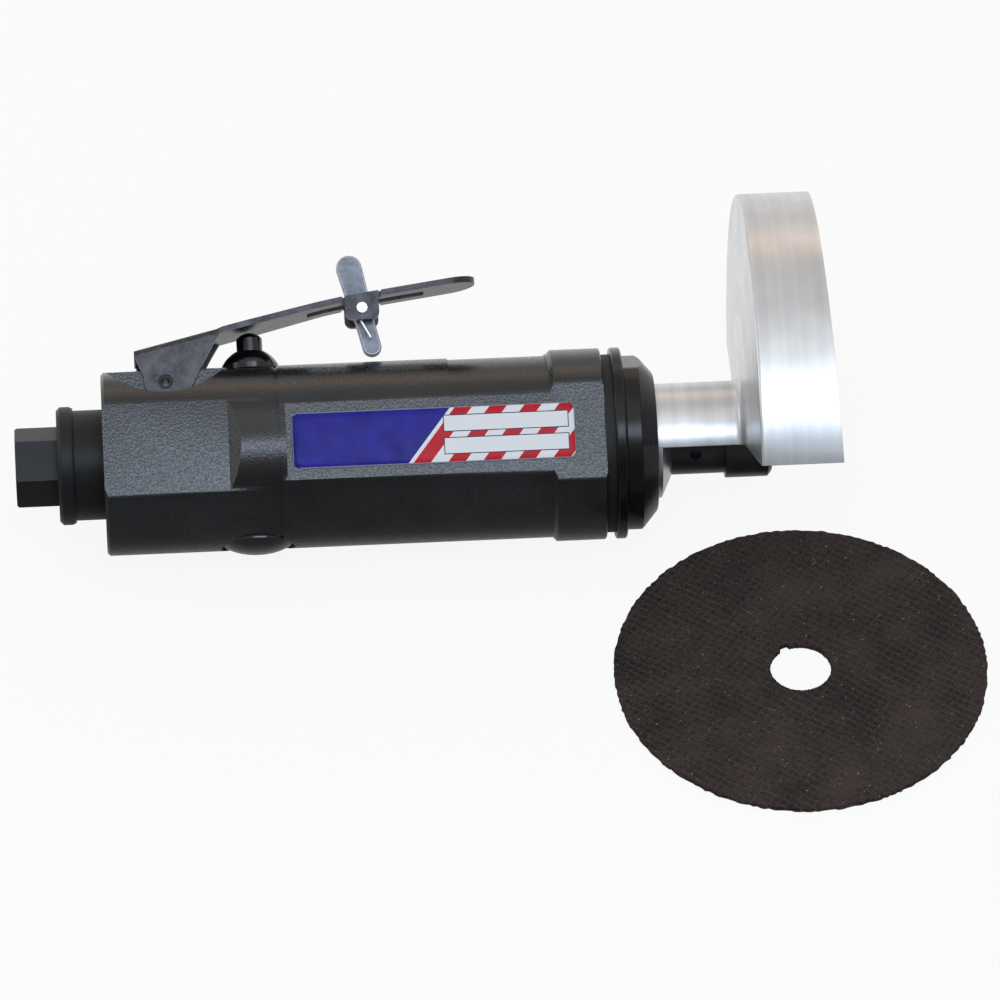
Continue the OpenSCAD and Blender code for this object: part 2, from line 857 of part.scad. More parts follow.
module lock_spring() {
    steps = 8;
    count = coil_turns * steps;
    coil = [for (i = [0 : count]) coil_ring(coil_r, coil_pitch, 360 * i / steps)];
    rings = concat(
        [leg_ring(coil[0], -stub_leg)],
        coil,
        [leg_ring(coil[count], foot_leg / 2), leg_ring(coil[count], foot_leg)]);
    echo(lock_spring_gap = wire_gap(rings, steps / 2 + 1, lock_wire_r));
    color("#d5d6d8")
        at_lock()
            translate([0, -lock_t / 2 - lock_wire_r - run_gap, 0])
                rotate([90, 0, 0])
                    rotate([0, 0, coil_end - 360 * coil_turns])
                        wire(rings, lock_wire_r, 6);
}

module nose_seal() {
    color("#0c0c0d")
        tube_x(seal_r, step_r + seat_gap, front_x, ring_x);
}

module clamp_ring() {
    edge = 0.4;
    color("#2c2d30")
        turned([
            [step_r + seat_gap, ring_x], [ring_r - edge, ring_x], [ring_r, ring_x + edge],
            [ring_r, cap_x - edge], [ring_r - edge, cap_x], [step_r + seat_gap, cap_x]
        ]);
}

module nose_cap() {
    seat_r = root_r + seat_gap;
    shaft_way_r = spindle_r + 2 * run_gap;
    color("#1a1b1d")
        difference() {
            turned([
                [front_bearing_r + seat_gap, shank_x], [motor_r, shank_x], [motor_r, front_x],
                [step_r, front_x], [step_r, cap_x], [cap_r, cap_x], [cap_r, cap_x + cap_len],
                [cap_face_r, cap_face_x], [seat_r, cap_face_x], [seat_r, guard_seat_x],
                [shaft_way_r, guard_seat_x], [shaft_way_r, front_bearing_x],
                [front_bearing_r + seat_gap, front_bearing_x]
            ]);
            for (turn = [cap_flat_turn, cap_flat_turn + 180])
                rotate([turn, 0, 0])
                    translate([cap_x, -cap_r, -2 * cap_r])
                        cube([cap_len + bevel_len + past, 2 * cap_r, 2 * cap_r - cap_flat_reach]);
        }
}

module rear_end_plate() {
    color("#8a8c90")
        turned([
            [rear_bearing_r + seat_gap, bay_x], [motor_r, bay_x], [motor_r, cylinder_x],
            [rear_shaft_r + run_gap, cylinder_x], [rear_shaft_r + run_gap, bay_x + rear_bearing_len],
            [rear_bearing_r + seat_gap, bay_x + rear_bearing_len]
        ]);
}

// Bearing with a shallow groove between its races on both faces
module bearing(outer_r, inner_r, from, width) {
    groove = 0.6;
    race = (outer_r - inner_r) / 4;
    turned([
        [inner_r, from], [inner_r + race, from], [inner_r + race, from + groove],
        [outer_r - race, from + groove], [outer_r - race, from], [outer_r, from],
        [outer_r, from + width], [outer_r - race, from + width], [outer_r - race, from + width - groove],
        [inner_r + race, from + width - groove], [inner_r + race, from + width], [inner_r, from + width]
    ]);
}

module rear_bearing() {
    color("#c4c6c9")
        bearing(rear_bearing_r, rear_shaft_r + shaft_gap, bay_x, rear_bearing_len);
}

module motor_cylinder() {
    port_r = 1.6;
    ports = 5;
    color("#b9bbbe")
        difference() {
            bar_x(motor_r, cylinder_x, front_plate_x);
            translate([0, 0, -sweep_offset])
                bar_x(sweep_r, cylinder_x - past, front_plate_x + past);
            for (i = [1 : ports])
                translate([cylinder_x + i * cylinder_len / (ports + 1), 0, -motor_r])
                    cylinder(r = port_r, h = motor_r, $fn = small);
        }
}

module rotor() {
    slot_t = vane_t + 2 * seat_gap;
    from = cylinder_x + rotor_gap;
    to = front_plate_x - rotor_gap;
    color("#77797d")
        difference() {
            turned([
                [0, bay_x + rotor_gap], [rear_shaft_r, bay_x + rotor_gap], [rear_shaft_r, from],
                [rotor_r, from], [rotor_r, to], [shaft_r, to], [shaft_r, shaft_end_x], [0, shaft_end_x]
            ]);
            for (i = [0 : vanes - 1])
                rotate([i * 360 / vanes, 0, 0])
                    translate([from - past, -slot_t / 2, vane_floor_r - seat_gap])
                        cube([to - from + 2 * past, slot_t, rotor_r]);
        }
}

module rotor_vanes() {
    from = cylinder_x + 2 * rotor_gap;
    to = front_plate_x - 2 * rotor_gap;
    color("#4a3b2c")
        for (i = [0 : vanes - 1])
            rotate([i * 360 / vanes, 0, 0])
                translate([from, -vane_t / 2, vane_floor_r])
                    cube([to - from, vane_t, rotor_r - vane_floor_r - seat_gap]);
}

module front_end_plate() {
    color("#8a8c90")
        tube_x(motor_r, shaft_r + run_gap, front_plate_x, shank_x);
}

module front_bearing() {
    color("#c4c6c9")
        bearing(front_bearing_r, shaft_r + shaft_gap, shank_x, front_bearing_len);
}

module spindle() {
    color("#232325")
        difference() {
            bar_x(spindle_r, spindle_x, spindle_x + spindle_len);
            bar_x(shaft_r + shaft_gap, spindle_x - past, shaft_end_x + seat_gap);
            rotate([tommy_turn, 0, 0])
                translate([tommy_x, -spindle_r, 0])
                    rotate([90, 0, 0])
                        cylinder(r = tommy_r, h = 2 * tommy_depth, center = true, $fn = small);
        }
}

module inner_flange() {
    color("#232325")
        turned([
            [0, -flange_len], [flange_r, -flange_len], [flange_r, -flange_bevel[1]],
            [flange_r - flange_bevel[0], 0], [pilot_r, 0], [pilot_r, pilot_len], [arbor_hole_r, pilot_len],
            [arbor_hole_r, pilot_len - arbor_hole_len], [0, pilot_len - arbor_hole_len]
        ]);
}

// Neck, wall and rim of the guard, revolved over its sector
module guard_sweep() {
    rim_end_x = rim_front + rim_spare;
    rim_in_r = guard_r - guard_t;
    cone_x = wall_x + wall_cone;
    rotate([0, 90, 0])
        rotate([0, 0, guard_from + 90])
            rotate_extrude(angle = guard_to - guard_from, $fn = fine)
                polygon(concat(
                    [[neck_in_r, cap_face_x + seat_gap], [neck_r, cap_face_x + seat_gap]],
                    curve([neck_r, wall_x - neck_fillet], [neck_r, wall_x], [neck_r + neck_fillet, wall_x]),
                    curve([guard_r - rim_corner, cone_x], [guard_r, cone_x], [guard_r, cone_x + rim_corner]),
                    [[guard_r, rim_end_x], [rim_in_r, rim_end_x]],
                    curve(
                        [rim_in_r, cone_x + guard_t + rim_corner],
                        [rim_in_r, cone_x + guard_t],
                        [rim_in_r - rim_corner, cone_x + guard_t]),
                    [[neck_in_r, wall_x + guard_t]]));
}

module wheel_guard() {
    reach = 4 * guard_r;
    color("#d9dadb")
        union() {
            difference() {
                guard_sweep();
                rotate([crown - 90, 0, 0])
                    translate([rim_front, 0, guard_r])
                        rotate([0, -rim_lean, 0])
                            translate([0, -reach / 2, -reach / 2])
                                cube([reach, reach, reach]);
            }
            turned([
                [root_bore_r, guard_seat_x], [root_r, guard_seat_x], [root_r, cap_face_x + root_face],
                [root_bore_r + 0.4, cap_face_x + root_face + root_cone],
                [root_bore_r, cap_face_x + root_face + root_cone]
            ]);
        }
}

// The loose wheel lies flat on the bench, beside the tool
module cutting_wheel() {
    color("#2f2724")
        translate([wheel_ahead, -wheel_aside, -lying_r])
            difference() {
                cylinder(r = wheel_d / 2, h = wheel_t, $fn = fine);
                translate([0, 0, -past])
                    cylinder(r = wheel_hole_d / 2, h = wheel_t + 2 * past, $fn = small);
            }
}

module name_plate() {
    straight_len = label_len - 2 * label_corner;
    straight_h = label_h - 2 * label_corner;
    color("#2b3f8f")
        translate([label_x, -front_flat_reach, 0])
            rotate([90, 0, 0])
                linear_extrude(height = label_t)
                    union() {
                        square([label_len, straight_h], center = true);
                        square([straight_len, label_h], center = true);
                        for (sx = [-1, 1], sy = [-1, 1])
                            translate([sx * straight_len / 2, sy * straight_h / 2])
                                circle(r = label_corner, $fn = small);
                    }
}

lying() housing();
lying() inlet_bushing();
lying() inlet_screen();
lying() exhaust_deflector();
lying() valve_bushing();
lying() stem_seal();
lying() valve_stem();
lying() valve_spring();
lying() valve_plug();
lying() plug_seal();
lying() lever_pin();
lying() throttle_lever();
lying() lock_pin();
lying() lock_lever();
lying() lock_spring();
lying() nose_seal();
lying() clamp_ring();
lying() nose_cap();
lying() rear_end_plate();
lying() rear_bearing();
lying() motor_cylinder();
lying() rotor();
lying() rotor_vanes();
lying() front_end_plate();
lying() front_bearing();
lying() spindle();
lying() inner_flange();
lying() wheel_guard();
cutting_wheel();
lying() name_plate();
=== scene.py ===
"""Looks of a pneumatic cut off tool that lies on a bench with its loose cutting wheel beside it.

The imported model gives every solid. This script rounds the edges that catch the light, rolls the lever's
folds, models the wheel, the printed plate and the screw threads afresh, gives every piece a procedural
finish, and sets the stage. Lengths are in metres in the row frame unless a name ends in _mm.
"""

from __future__ import annotations

import logging
import math
from collections.abc import Callable, Iterable
from dataclasses import dataclass
from enum import Enum

import bpy
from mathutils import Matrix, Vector

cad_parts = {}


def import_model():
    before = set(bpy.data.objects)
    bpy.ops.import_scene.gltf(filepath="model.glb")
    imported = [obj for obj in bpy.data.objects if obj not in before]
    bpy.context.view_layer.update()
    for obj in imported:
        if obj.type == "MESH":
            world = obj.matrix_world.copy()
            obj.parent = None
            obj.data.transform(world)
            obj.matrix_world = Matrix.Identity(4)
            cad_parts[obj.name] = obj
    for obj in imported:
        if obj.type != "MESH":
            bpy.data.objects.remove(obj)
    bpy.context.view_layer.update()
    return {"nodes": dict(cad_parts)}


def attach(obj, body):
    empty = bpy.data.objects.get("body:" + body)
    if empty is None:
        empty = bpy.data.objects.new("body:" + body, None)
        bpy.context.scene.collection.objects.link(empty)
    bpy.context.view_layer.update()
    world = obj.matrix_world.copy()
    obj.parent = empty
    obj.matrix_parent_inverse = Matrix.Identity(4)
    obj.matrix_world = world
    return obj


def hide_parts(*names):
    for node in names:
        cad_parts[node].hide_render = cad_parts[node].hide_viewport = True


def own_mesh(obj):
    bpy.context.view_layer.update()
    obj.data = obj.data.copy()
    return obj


LOG = logging.getLogger("cut_off_tool")

MM = 0.001
FRAME_PX = 1000
PX_PER_MM = 3.66

# The tool is rolled about X from its own upright frame into the way it lies
LIE_ROLL = math.radians(57.109)
BENCH_Z = -26.1 * MM

# Points of a mesh nearer to each other than this are one point
MERGE_MM = 0.002
# Corners of a screw thread's section
TRIANGLE = 3
# A noise texture seldom leaves this range
NOISE_LOW, NOISE_HIGH = 0.3, 0.7

Colour = tuple[float, float, float, float]
Socket = bpy.types.NodeSocket


class Body(str, Enum):
    """Names of the rigid bodies that pieces ride on."""

    TOOL = "body"
    ROTOR = "rotor"
    LEVER = "lever"
    LOCK = "lock"


class Grain(Enum):
    """How far a surface's fine grain is drawn out along each direction."""

    EVEN = (1.0, 1.0, 1.0)
    ALONG_X = (0.03, 1.0, 1.0)


def linear(code: str) -> Colour:
    """Turn a screen colour into the linear values that shaders use.

    Args:
        code: Six hexadecimal digits after a hash.

    Returns:
        Red, green, blue and full alpha, all linear.
    """
    parts = [int(code[i : i + 2], 16) / 255 for i in (1, 3, 5)]
    red, green, blue = (p / 12.92 if p <= 0.04045 else ((p + 0.055) / 1.055) ** 2.4 for p in parts)
    return red, green, blue, 1.0


def upright(x_mm: float, y_mm: float, z_mm: float) -> Vector:
    """Place a point of the tool's own upright frame in the row frame.

    Args:
        x_mm: Distance along the spindle, from the wheel seat.
        y_mm: Distance to the tool's far side.
        z_mm: Distance towards the lever.

    Returns:
        The point in metres, in the row frame.
    """
    cos, sin = math.cos(LIE_ROLL), math.sin(LIE_ROLL)
    return Vector((x_mm, y_mm * cos + z_mm * sin, z_mm * cos - y_mm * sin)) * MM


def in_upright_mm(point: Vector) -> Vector:
    """Give a point of the row frame in the tool's own upright frame.

    Args:
        point: The point in metres, in the row frame.

    Returns:
        The point in millimetres, in the upright frame.
    """
    cos, sin = math.cos(LIE_ROLL), math.sin(LIE_ROLL)
    return Vector((point.x, point.y * cos - point.z * sin, point.y * sin + point.z * cos)) / MM


class Graph:
    """The node tree of one material or of the world.

    Inputs go by number where a node has several of one name. A Math or VectorMath node takes its values at
    0 and 1. A MapRange takes its value at 0, the range it comes from at 1 and 2, and the range it goes to at
    3 and 4. A colour Mix takes its share at 0 and its colours at 6 and 7, and gives its result at 2.
    """

    def __init__(self, owner: bpy.types.Material | bpy.types.World) -> None:
        """Empty the owner's tree, ready for new nodes."""
        owner.use_nodes = True
        self.tree = owner.node_tree
        self.tree.nodes.clear()

    def add(
        self,
        kind: str,
        inputs: dict[str | int, object] | None = None,
        output: str | int = 0,
        **settings: object,
    ) -> Socket | None:
        """Add a node, set its properties, and fill or link its inputs.

        Args:
            kind: Type name of the node, after its common start.
            inputs: Values or sockets by input name or number.
            output: Name or number of the output that is wanted.
            **settings: Properties of the node itself.

        Returns:
            That output, or nothing from a node that ends the tree.
        """
        node = self.tree.nodes.new(f"ShaderNode{kind}")
        for key, value in settings.items():
            setattr(node, key, value)
        for key, value in (inputs or {}).items():
            if isinstance(value, bpy.types.NodeSocket):
                self.tree.links.new(value, node.inputs[key])
            else:
                node.inputs[key].default_value = value
        return node.outputs[output] if node.outputs else None


@dataclass(frozen=True)
class Finish:
    """Plain surface with a fine grain, a slow change of colour and a spread of gloss."""

    name: str
    dark: str
    light: str
    metallic: float = 0.0
    rough: tuple[float, float] = (0.35, 0.5)
    grain_mm: float = 0.4
    depth_mm: float = 0.01
    grain: Grain = Grain.EVEN
    patch_mm: float = 9.0
    coat: float = 0.0
    specular: float = 0.5
    # Sum of the two noises at which the dark colour ends, and at which the light one is full
    blend: tuple[float, float] = (0.7, 1.3)

    def build(self) -> bpy.types.Material:
        """Make the material.

        Returns:
            The finished material.
        """
        material = bpy.data.materials.new(self.name)
        graph = Graph(material)
        place = graph.add("TexCoord", output="Object")
        drawn = graph.add("VectorMath", {0: place, 1: self.grain.value}, operation="MULTIPLY")
        fine = graph.add("TexNoise", {"Vector": drawn, "Scale": 1 / (self.grain_mm * MM), "Detail": 3.0})
        patch = graph.add("TexNoise", {"Vector": place, "Scale": 1 / (self.patch_mm * MM), "Detail": 4.0})
        both = graph.add("Math", {0: fine, 1: patch}, operation="ADD")
        share = graph.add("MapRange", {0: both, 1: self.blend[0], 2: self.blend[1], 3: 0.0, 4: 1.0})
        tones = {0: share, 6: linear(self.dark), 7: linear(self.light)}
        colour = graph.add("Mix", tones, 2, data_type="RGBA")
        spread = {0: fine, 1: NOISE_LOW, 2: NOISE_HIGH, 3: self.rough[0], 4: self.rough[1]}
        gloss = graph.add("MapRange", spread)
        normal = graph.add("Bump", {"Height": fine, "Distance": self.depth_mm * MM})
        shader = graph.add(
            "BsdfPrincipled",
            {
                "Base Color": colour,
                "Metallic": self.metallic,
                "Roughness": gloss,
                "Normal": normal,
                "Coat Weight": self.coat,
                "Specular IOR Level": self.specular,
            },
        )
        graph.add("OutputMaterial", {"Surface": shader})
        return material


@dataclass(frozen=True)
class WrinkleEnamel:
    """Stoved paint that dries in fine rounded grains, each of which glints where it mirrors a light."""

    name: str
    dark: str
    light: str
    # Real grains are about half as wide, which is too fine to show, so they are drawn coarser
    grain_mm: float = 0.62
    depth_mm: float = 0.052
    dimple: float = 0.25
    patch_mm: float = 18.0
    # The tops of the grains, where the noise is high, are the glossiest
    grain_range: tuple[float, float] = (0.34, 0.66)
    rough: tuple[float, float] = (0.34, 0.15)
    specular: float = 0.62
    blend: tuple[float, float] = (0.75, 1.3)

    def build(self) -> bpy.types.Material:
        """Make the material.

        Returns:
            The finished material.
        """
        material = bpy.data.materials.new(self.name)
        graph = Graph(material)
        place = graph.add("TexCoord", output="Object")
        size = 1 / (self.grain_mm * MM)
        cells = graph.add("TexVoronoi", {"Vector": place, "Scale": size, "Randomness": 1.0}, "Distance")
        fine = graph.add("TexNoise", {"Vector": place, "Scale": size, "Detail": 2.0})
        patch = graph.add("TexNoise", {"Vector": place, "Scale": 1 / (self.patch_mm * MM), "Detail": 3.0})
        low = graph.add("Math", {0: cells, 1: -self.dimple}, operation="MULTIPLY")
        height = graph.add("Math", {0: low, 1: fine}, operation="ADD")
        both = graph.add("Math", {0: fine, 1: patch}, operation="ADD")
        share = graph.add("MapRange", {0: both, 1: self.blend[0], 2: self.blend[1], 3: 0.0, 4: 1.0})
        tones = {0: share, 6: linear(self.dark), 7: linear(self.light)}
        colour = graph.add("Mix", tones, 2, data_type="RGBA")
        low_grain, high_grain = self.grain_range
        spread = {0: fine, 1: low_grain, 2: high_grain, 3: self.rough[0], 4: self.rough[1]}
        gloss = graph.add("MapRange", spread)
        normal = graph.add("Bump", {"Height": height, "Distance": self.depth_mm * MM})
        shader = graph.add(
            "BsdfPrincipled",
            {
                "Base Color": colour,
                "Roughness": gloss,
                "Normal": normal,
                "Specular IOR Level": self.specular,
            },
        )
        graph.add("OutputMaterial", {"Surface": shader})
        return material


@dataclass(frozen=True)
class TurnedMetal:
    """Surface cut on a lathe about the spindle's axis, with fine rings on faces and round walls alike."""

    name: str
    dark: str
    light: str
    metallic: float = 1.0
    rough: tuple[float, float] = (0.22, 0.36)
    ring_mm: float = 0.3
    depth_mm: float = 0.004
    band_rings: float = 9.0
    cloud_mm: float = 14.0
    specular: float = 0.5
    blend: tuple[float, float] = (0.75, 1.25)

    def build(self) -> bpy.types.Material:
        """Make the material.

        Returns:
            The finished material.
        """
        material = bpy.data.materials.new(self.name)
        graph = Graph(material)
        place = graph.add("TexCoord", output="Object")
        across = graph.add("VectorMath", {0: place, 1: (0, 1, 1)}, operation="MULTIPLY")
        radius = graph.add("VectorMath", {0: across}, "Value", operation="LENGTH")
        along = graph.add("VectorMath", {0: place, 1: (1, 0, 0)}, "Value", operation="DOT_PRODUCT")
        ring_place = graph.add("CombineXYZ", {0: along, 1: radius})
        size = 1 / (self.ring_mm * MM)
        rings = graph.add("TexNoise", {"Vector": ring_place, "Scale": size, "Detail": 2.0})
        bands = graph.add("TexNoise", {"Vector": ring_place, "Scale": size / self.band_rings, "Detail": 2.0})
        cloud = graph.add("TexNoise", {"Vector": place, "Scale": 1 / (self.cloud_mm * MM), "Detail": 3.0})
        both = graph.add("Math", {0: bands, 1: cloud}, operation="ADD")
        share = graph.add("MapRange", {0: both, 1: self.blend[0], 2: self.blend[1], 3: 0.0, 4: 1.0})
        tones = {0: share, 6: linear(self.dark), 7: linear(self.light)}
        colour = graph.add("Mix", tones, 2, data_type="RGBA")
        spread = {0: rings, 1: NOISE_LOW, 2: NOISE_HIGH, 3: self.rough[0], 4: self.rough[1]}
        gloss = graph.add("MapRange", spread)
        normal = graph.add("Bump", {"Height": rings, "Distance": self.depth_mm * MM})
        shader = graph.add(
            "BsdfPrincipled",
            {
                "Base Color": colour,
                "Metallic": self.metallic,
                "Roughness": gloss,
                "Normal": normal,
                "Specular IOR Level": self.specular,
            },
        )
        graph.add("OutputMaterial", {"Surface": shader})
        return material


@dataclass(frozen=True)
class BondedGrit:
    """Grit in dark resin with the threads of a woven glass mesh pressed into it."""

    name: str
    dark: str = "#140f0e"
    light: str = "#413632"
    thread: str = "#574b45"
    painted_glint: str = "#8d8278"
    # Pale colour of the grains that carry a painted glint
    pitch_mm: float = 2.1
    turn: float = math.radians(54)
    # Power that narrows the crest of each thread
    crest: float = 5.0
    weft_share: float = 0.6
    thread_share: float = 0.75
    # The threads sway slowly, and where the same noise is low they lie deeper in the resin
    sway_mm: float = 11.0
    bend_mm: float = 1.6
    sunk_range: tuple[float, float] = (0.35, 0.65)
    sunk_share: float = 0.3
    # Real grit is about half as wide, which is too fine to show, so it is drawn coarser
    grit_mm: float = 0.9
    grit_share: float = 0.6
    cell_share: float = 0.9
    # A few grains get a pale colour as a painted glint: those whose lot falls in this range or above it
    painted_glint_mm: float = 0.4
    painted_glint_range: tuple[float, float] = (0.992, 0.998)
    painted_glint_share: float = 0.7
    patch_mm: float = 16.0
    depth_mm: float = 0.6
    rough: tuple[float, float] = (0.6, 0.82)
    specular: float = 0.3
    blend: tuple[float, float] = (0.78, 1.22)

    def threads(self, graph: Graph, place: Socket, turn: float) -> Socket:
        """Draw one family of parallel threads.

        Args:
            graph: Tree to add to.
            place: Coordinates on the wheel.
            turn: Direction across the threads, in radians.

        Returns:
            One along a thread's crest and zero between threads.
        """
        wave = math.tau / (self.pitch_mm * MM)
        across = (wave * math.cos(turn), wave * math.sin(turn), 0)
        phase = graph.add("VectorMath", {0: place, 1: across}, "Value", operation="DOT_PRODUCT")
        swing = graph.add("Math", {0: phase}, operation="COSINE")
        crest = graph.add("MapRange", {0: swing, 1: -1.0, 2: 1.0, 3: 0.0, 4: 1.0})
        return graph.add("Math", {0: crest, 1: self.crest}, operation="POWER")

    def build(self) -> bpy.types.Material:
        """Make the material.

        Returns:
            The finished material.
        """
        material = bpy.data.materials.new(self.name)
        graph = Graph(material)
        place = graph.add("TexCoord", output="Object")
        sway = graph.add("TexNoise", {"Vector": place, "Scale": 1 / (self.sway_mm * MM), "Detail": 1.0})
        shift = graph.add("Math", {0: sway, 1: self.bend_mm * MM}, operation="MULTIPLY")
        bent = graph.add("VectorMath", {0: place, 1: shift}, operation="ADD")
        warp = self.threads(graph, bent, self.turn)
        weft = self.threads(graph, bent, self.turn + math.pi / 2)
        low_weft = graph.add("Math", {0: weft, 1: self.weft_share}, operation="MULTIPLY")
        net = graph.add("Math", {0: warp, 1: low_weft}, operation="MAXIMUM")
        size = 1 / (self.grit_mm * MM)
        grit = graph.add("TexVoronoi", {"Vector": place, "Scale": size}, "Distance")
        fine = graph.add("TexNoise", {"Vector": place, "Scale": size, "Detail": 3.0})
        patch = graph.add("TexNoise", {"Vector": place, "Scale": 1 / (self.patch_mm * MM), "Detail": 3.0})
        grains = graph.add("Math", {0: grit, 1: self.cell_share}, operation="MULTIPLY")
        rough = graph.add("Math", {0: grains, 1: fine}, operation="ADD")
        low_rough = graph.add("Math", {0: rough, 1: self.grit_share}, operation="MULTIPLY")
        low_sway, high_sway = self.sunk_range
        bare = graph.add("MapRange", {0: sway, 1: low_sway, 2: high_sway, 3: self.sunk_share, 4: 1.0})
        weave = graph.add("Math", {0: net, 1: bare}, operation="MULTIPLY")
        height = graph.add("Math", {0: low_rough, 1: weave}, operation="ADD")
        both = graph.add("Math", {0: fine, 1: patch}, operation="ADD")
        share = graph.add("MapRange", {0: both, 1: self.blend[0], 2: self.blend[1], 3: 0.0, 4: 1.0})
        resin = graph.add("Mix", {0: share, 6: linear(self.dark), 7: linear(self.light)}, 2, data_type="RGBA")
        part = graph.add("Math", {0: weave, 1: self.thread_share}, operation="MULTIPLY")
        woven = graph.add("Mix", {0: part, 6: resin, 7: linear(self.thread)}, 2, data_type="RGBA")
        # A few grains are painted pale, a painted glint
        tint = graph.add("TexVoronoi", {"Vector": place, "Scale": 1 / (self.painted_glint_mm * MM)}, "Color")
        lot = graph.add("SeparateColor", {0: tint}, 1)
        low_lot, high_lot = self.painted_glint_range
        glint_mask = graph.add("MapRange", {0: lot, 1: low_lot, 2: high_lot, 3: 0.0, 4: self.painted_glint_share})
        colour = graph.add("Mix", {0: glint_mask, 6: woven, 7: linear(self.painted_glint)}, 2, data_type="RGBA")
        spread = {0: fine, 1: NOISE_LOW, 2: NOISE_HIGH, 3: self.rough[0], 4: self.rough[1]}
        gloss = graph.add("MapRange", spread)
        normal = graph.add("Bump", {"Height": height, "Distance": self.depth_mm * MM})
        shader = graph.add(
            "BsdfPrincipled",
            {"Base Color": colour, "Roughness": gloss, "Normal": normal, "Specular IOR Level": self.specular},
        )
        graph.add("OutputMaterial", {"Surface": shader})
        return material


@dataclass(frozen=True)
class PrintedResin:
    """Print with a plain field, straight stripes and two blank boxes, under a clear domed resin."""

    name: str
    half_mm: tuple[float, float]
    centre: tuple[float, float, float]
    tilt: float
    field: str = "#27259a"
    deep: str = "#1e1c7c"
    stripe: str = "#c01f2d"
    paper: str = "#e9ebee"
    line: str = "#20254a"
    edge: str = "#8d909f"
    border_mm: float = 0.3
    # Direction across the stripes; the field ends and the stripes begin along the same slant
    slant: tuple[float, float, float] = (0.78, -0.62, 0.0)
    stripe_mm: float = 7.4
    field_end_mm: float = -1.0
    # Two ruled boxes, each with a blank inside its rule
    box_x_mm: float = 19.6
    box_rows_mm: tuple[float, float] = (3.1, -3.1)
    box_half_mm: tuple[float, float] = (17.0, 2.35)
    blank_half_mm: tuple[float, float] = (16.75, 2.1)
    cloud_mm: float = 7.0
    ripple_mm: float = 5.0
    depth_mm: float = 0.006
    rough: tuple[float, float] = (0.3, 0.4)
    specular: float = 0.15

    def inside(self, graph: Graph, place: Socket, centre: Iterable[float], half: Iterable[float]) -> Socket:
        """Mask a box on the plate.

        Args:
            graph: Tree to add to.
            place: Coordinates on the plate.
            centre: Middle of the box in millimetres.
            half: Half the box's size in millimetres.

        Returns:
            One inside the box and zero outside it.
        """
        masks = []
        for axis, middle, reach in zip(((1, 0, 0), (0, 1, 0)), centre, half):
            along = graph.add("VectorMath", {0: place, 1: axis}, "Value", operation="DOT_PRODUCT")
            offset = graph.add("Math", {0: along, 1: middle * MM}, operation="SUBTRACT")
            distance = graph.add("Math", {0: offset}, operation="ABSOLUTE")
            masks.append(graph.add("Math", {0: distance, 1: reach * MM}, operation="LESS_THAN"))
        return graph.add("Math", {0: masks[0], 1: masks[1]}, operation="MULTIPLY")

    def build(self) -> bpy.types.Material:
        """Make the material.

        Returns:
            The finished material.
        """
        material = bpy.data.materials.new(self.name)
        graph = Graph(material)
        row_place = graph.add("TexCoord", output="Object")
        turned = {"Vector": row_place, "Location": self.centre, "Rotation": (self.tilt, 0, 0)}
        place = graph.add("Mapping", turned, vector_type="TEXTURE")
        slant = graph.add("VectorMath", {0: place, 1: self.slant}, "Value", operation="DOT_PRODUCT")
        count = graph.add("Math", {0: slant, 1: 1 / (self.stripe_mm * MM)}, operation="MULTIPLY")
        wave = graph.add("Math", {0: count}, operation="FRACT")
        odd = graph.add("Math", {0: wave, 1: 0.5}, operation="LESS_THAN")
        bars = graph.add("Mix", {0: odd, 6: linear(self.paper), 7: linear(self.stripe)}, 2, data_type="RGBA")
        cloud = graph.add("TexNoise", {"Vector": place, "Scale": 1 / (self.cloud_mm * MM), "Detail": 2.0})
        share = graph.add("MapRange", {0: cloud, 1: NOISE_LOW, 2: NOISE_HIGH, 3: 0.0, 4: 1.0})
        field = graph.add("Mix", {0: share, 6: linear(self.deep), 7: linear(self.field)}, 2, data_type="RGBA")
        left = graph.add("Math", {0: slant, 1: self.field_end_mm * MM}, operation="LESS_THAN")
        ink = graph.add("Mix", {0: left, 6: bars, 7: field}, 2, data_type="RGBA")
        for row in self.box_rows_mm:
            rule = self.inside(graph, place, (self.box_x_mm, row), self.box_half_mm)
            ink = graph.add("Mix", {0: rule, 6: ink, 7: linear(self.line)}, 2, data_type="RGBA")
            blank = self.inside(graph, place, (self.box_x_mm, row), self.blank_half_mm)
            ink = graph.add("Mix", {0: blank, 6: ink, 7: linear(self.paper)}, 2, data_type="RGBA")
        print_half = tuple(half - self.border_mm for half in self.half_mm)
        sheet = self.inside(graph, place, (0, 0), print_half)
        colour = graph.add("Mix", {0: sheet, 6: linear(self.edge), 7: ink}, 2, data_type="RGBA")
        ripple = graph.add("TexNoise", {"Vector": place, "Scale": 1 / (self.ripple_mm * MM), "Detail": 2.0})
        spread = {0: ripple, 1: NOISE_LOW, 2: NOISE_HIGH, 3: self.rough[0], 4: self.rough[1]}
        gloss = graph.add("MapRange", spread)
        normal = graph.add("Bump", {"Height": ripple, "Distance": self.depth_mm * MM})
        shader = graph.add(
            "BsdfPrincipled",
            {
                "Base Color": colour,
                "Roughness": gloss,
                "Normal": normal,
                "Specular IOR Level": self.specular,
            },
        )
        graph.add("OutputMaterial", {"Surface": shader})
        return material


# After its name and its two colours, a finish takes its share of metal, its range of roughness, and the size
# and depth of its grain or rings in millimetres

# Wrinkle enamel, sprayed and stoved: black grains that glint grey where a flat mirrors the light
ENAMEL = WrinkleEnamel("wrinkle_enamel", "#070808", "#1e2023")
# Black oxide on machined steel: near black with a dull satin gleam
OXIDE = Finish("black_oxide_steel", "#0c0c0e", "#1a1a1d", 0.2, (0.3, 0.46), 0.25, 0.006, specular=0.35)
# The same oxide painted lighter, dark grey with a soft gleam. On the inlet bushing's rounded edges it is a
# painted highlight. On the spindle and flange it is painted light that lifts them out of their shade.
PAINTED_LIGHT_OXIDE = Finish("painted_light_oxide", "#2c2c2f", "#4b4b4f", 0.7, (0.28, 0.42), 0.25, 0.004)
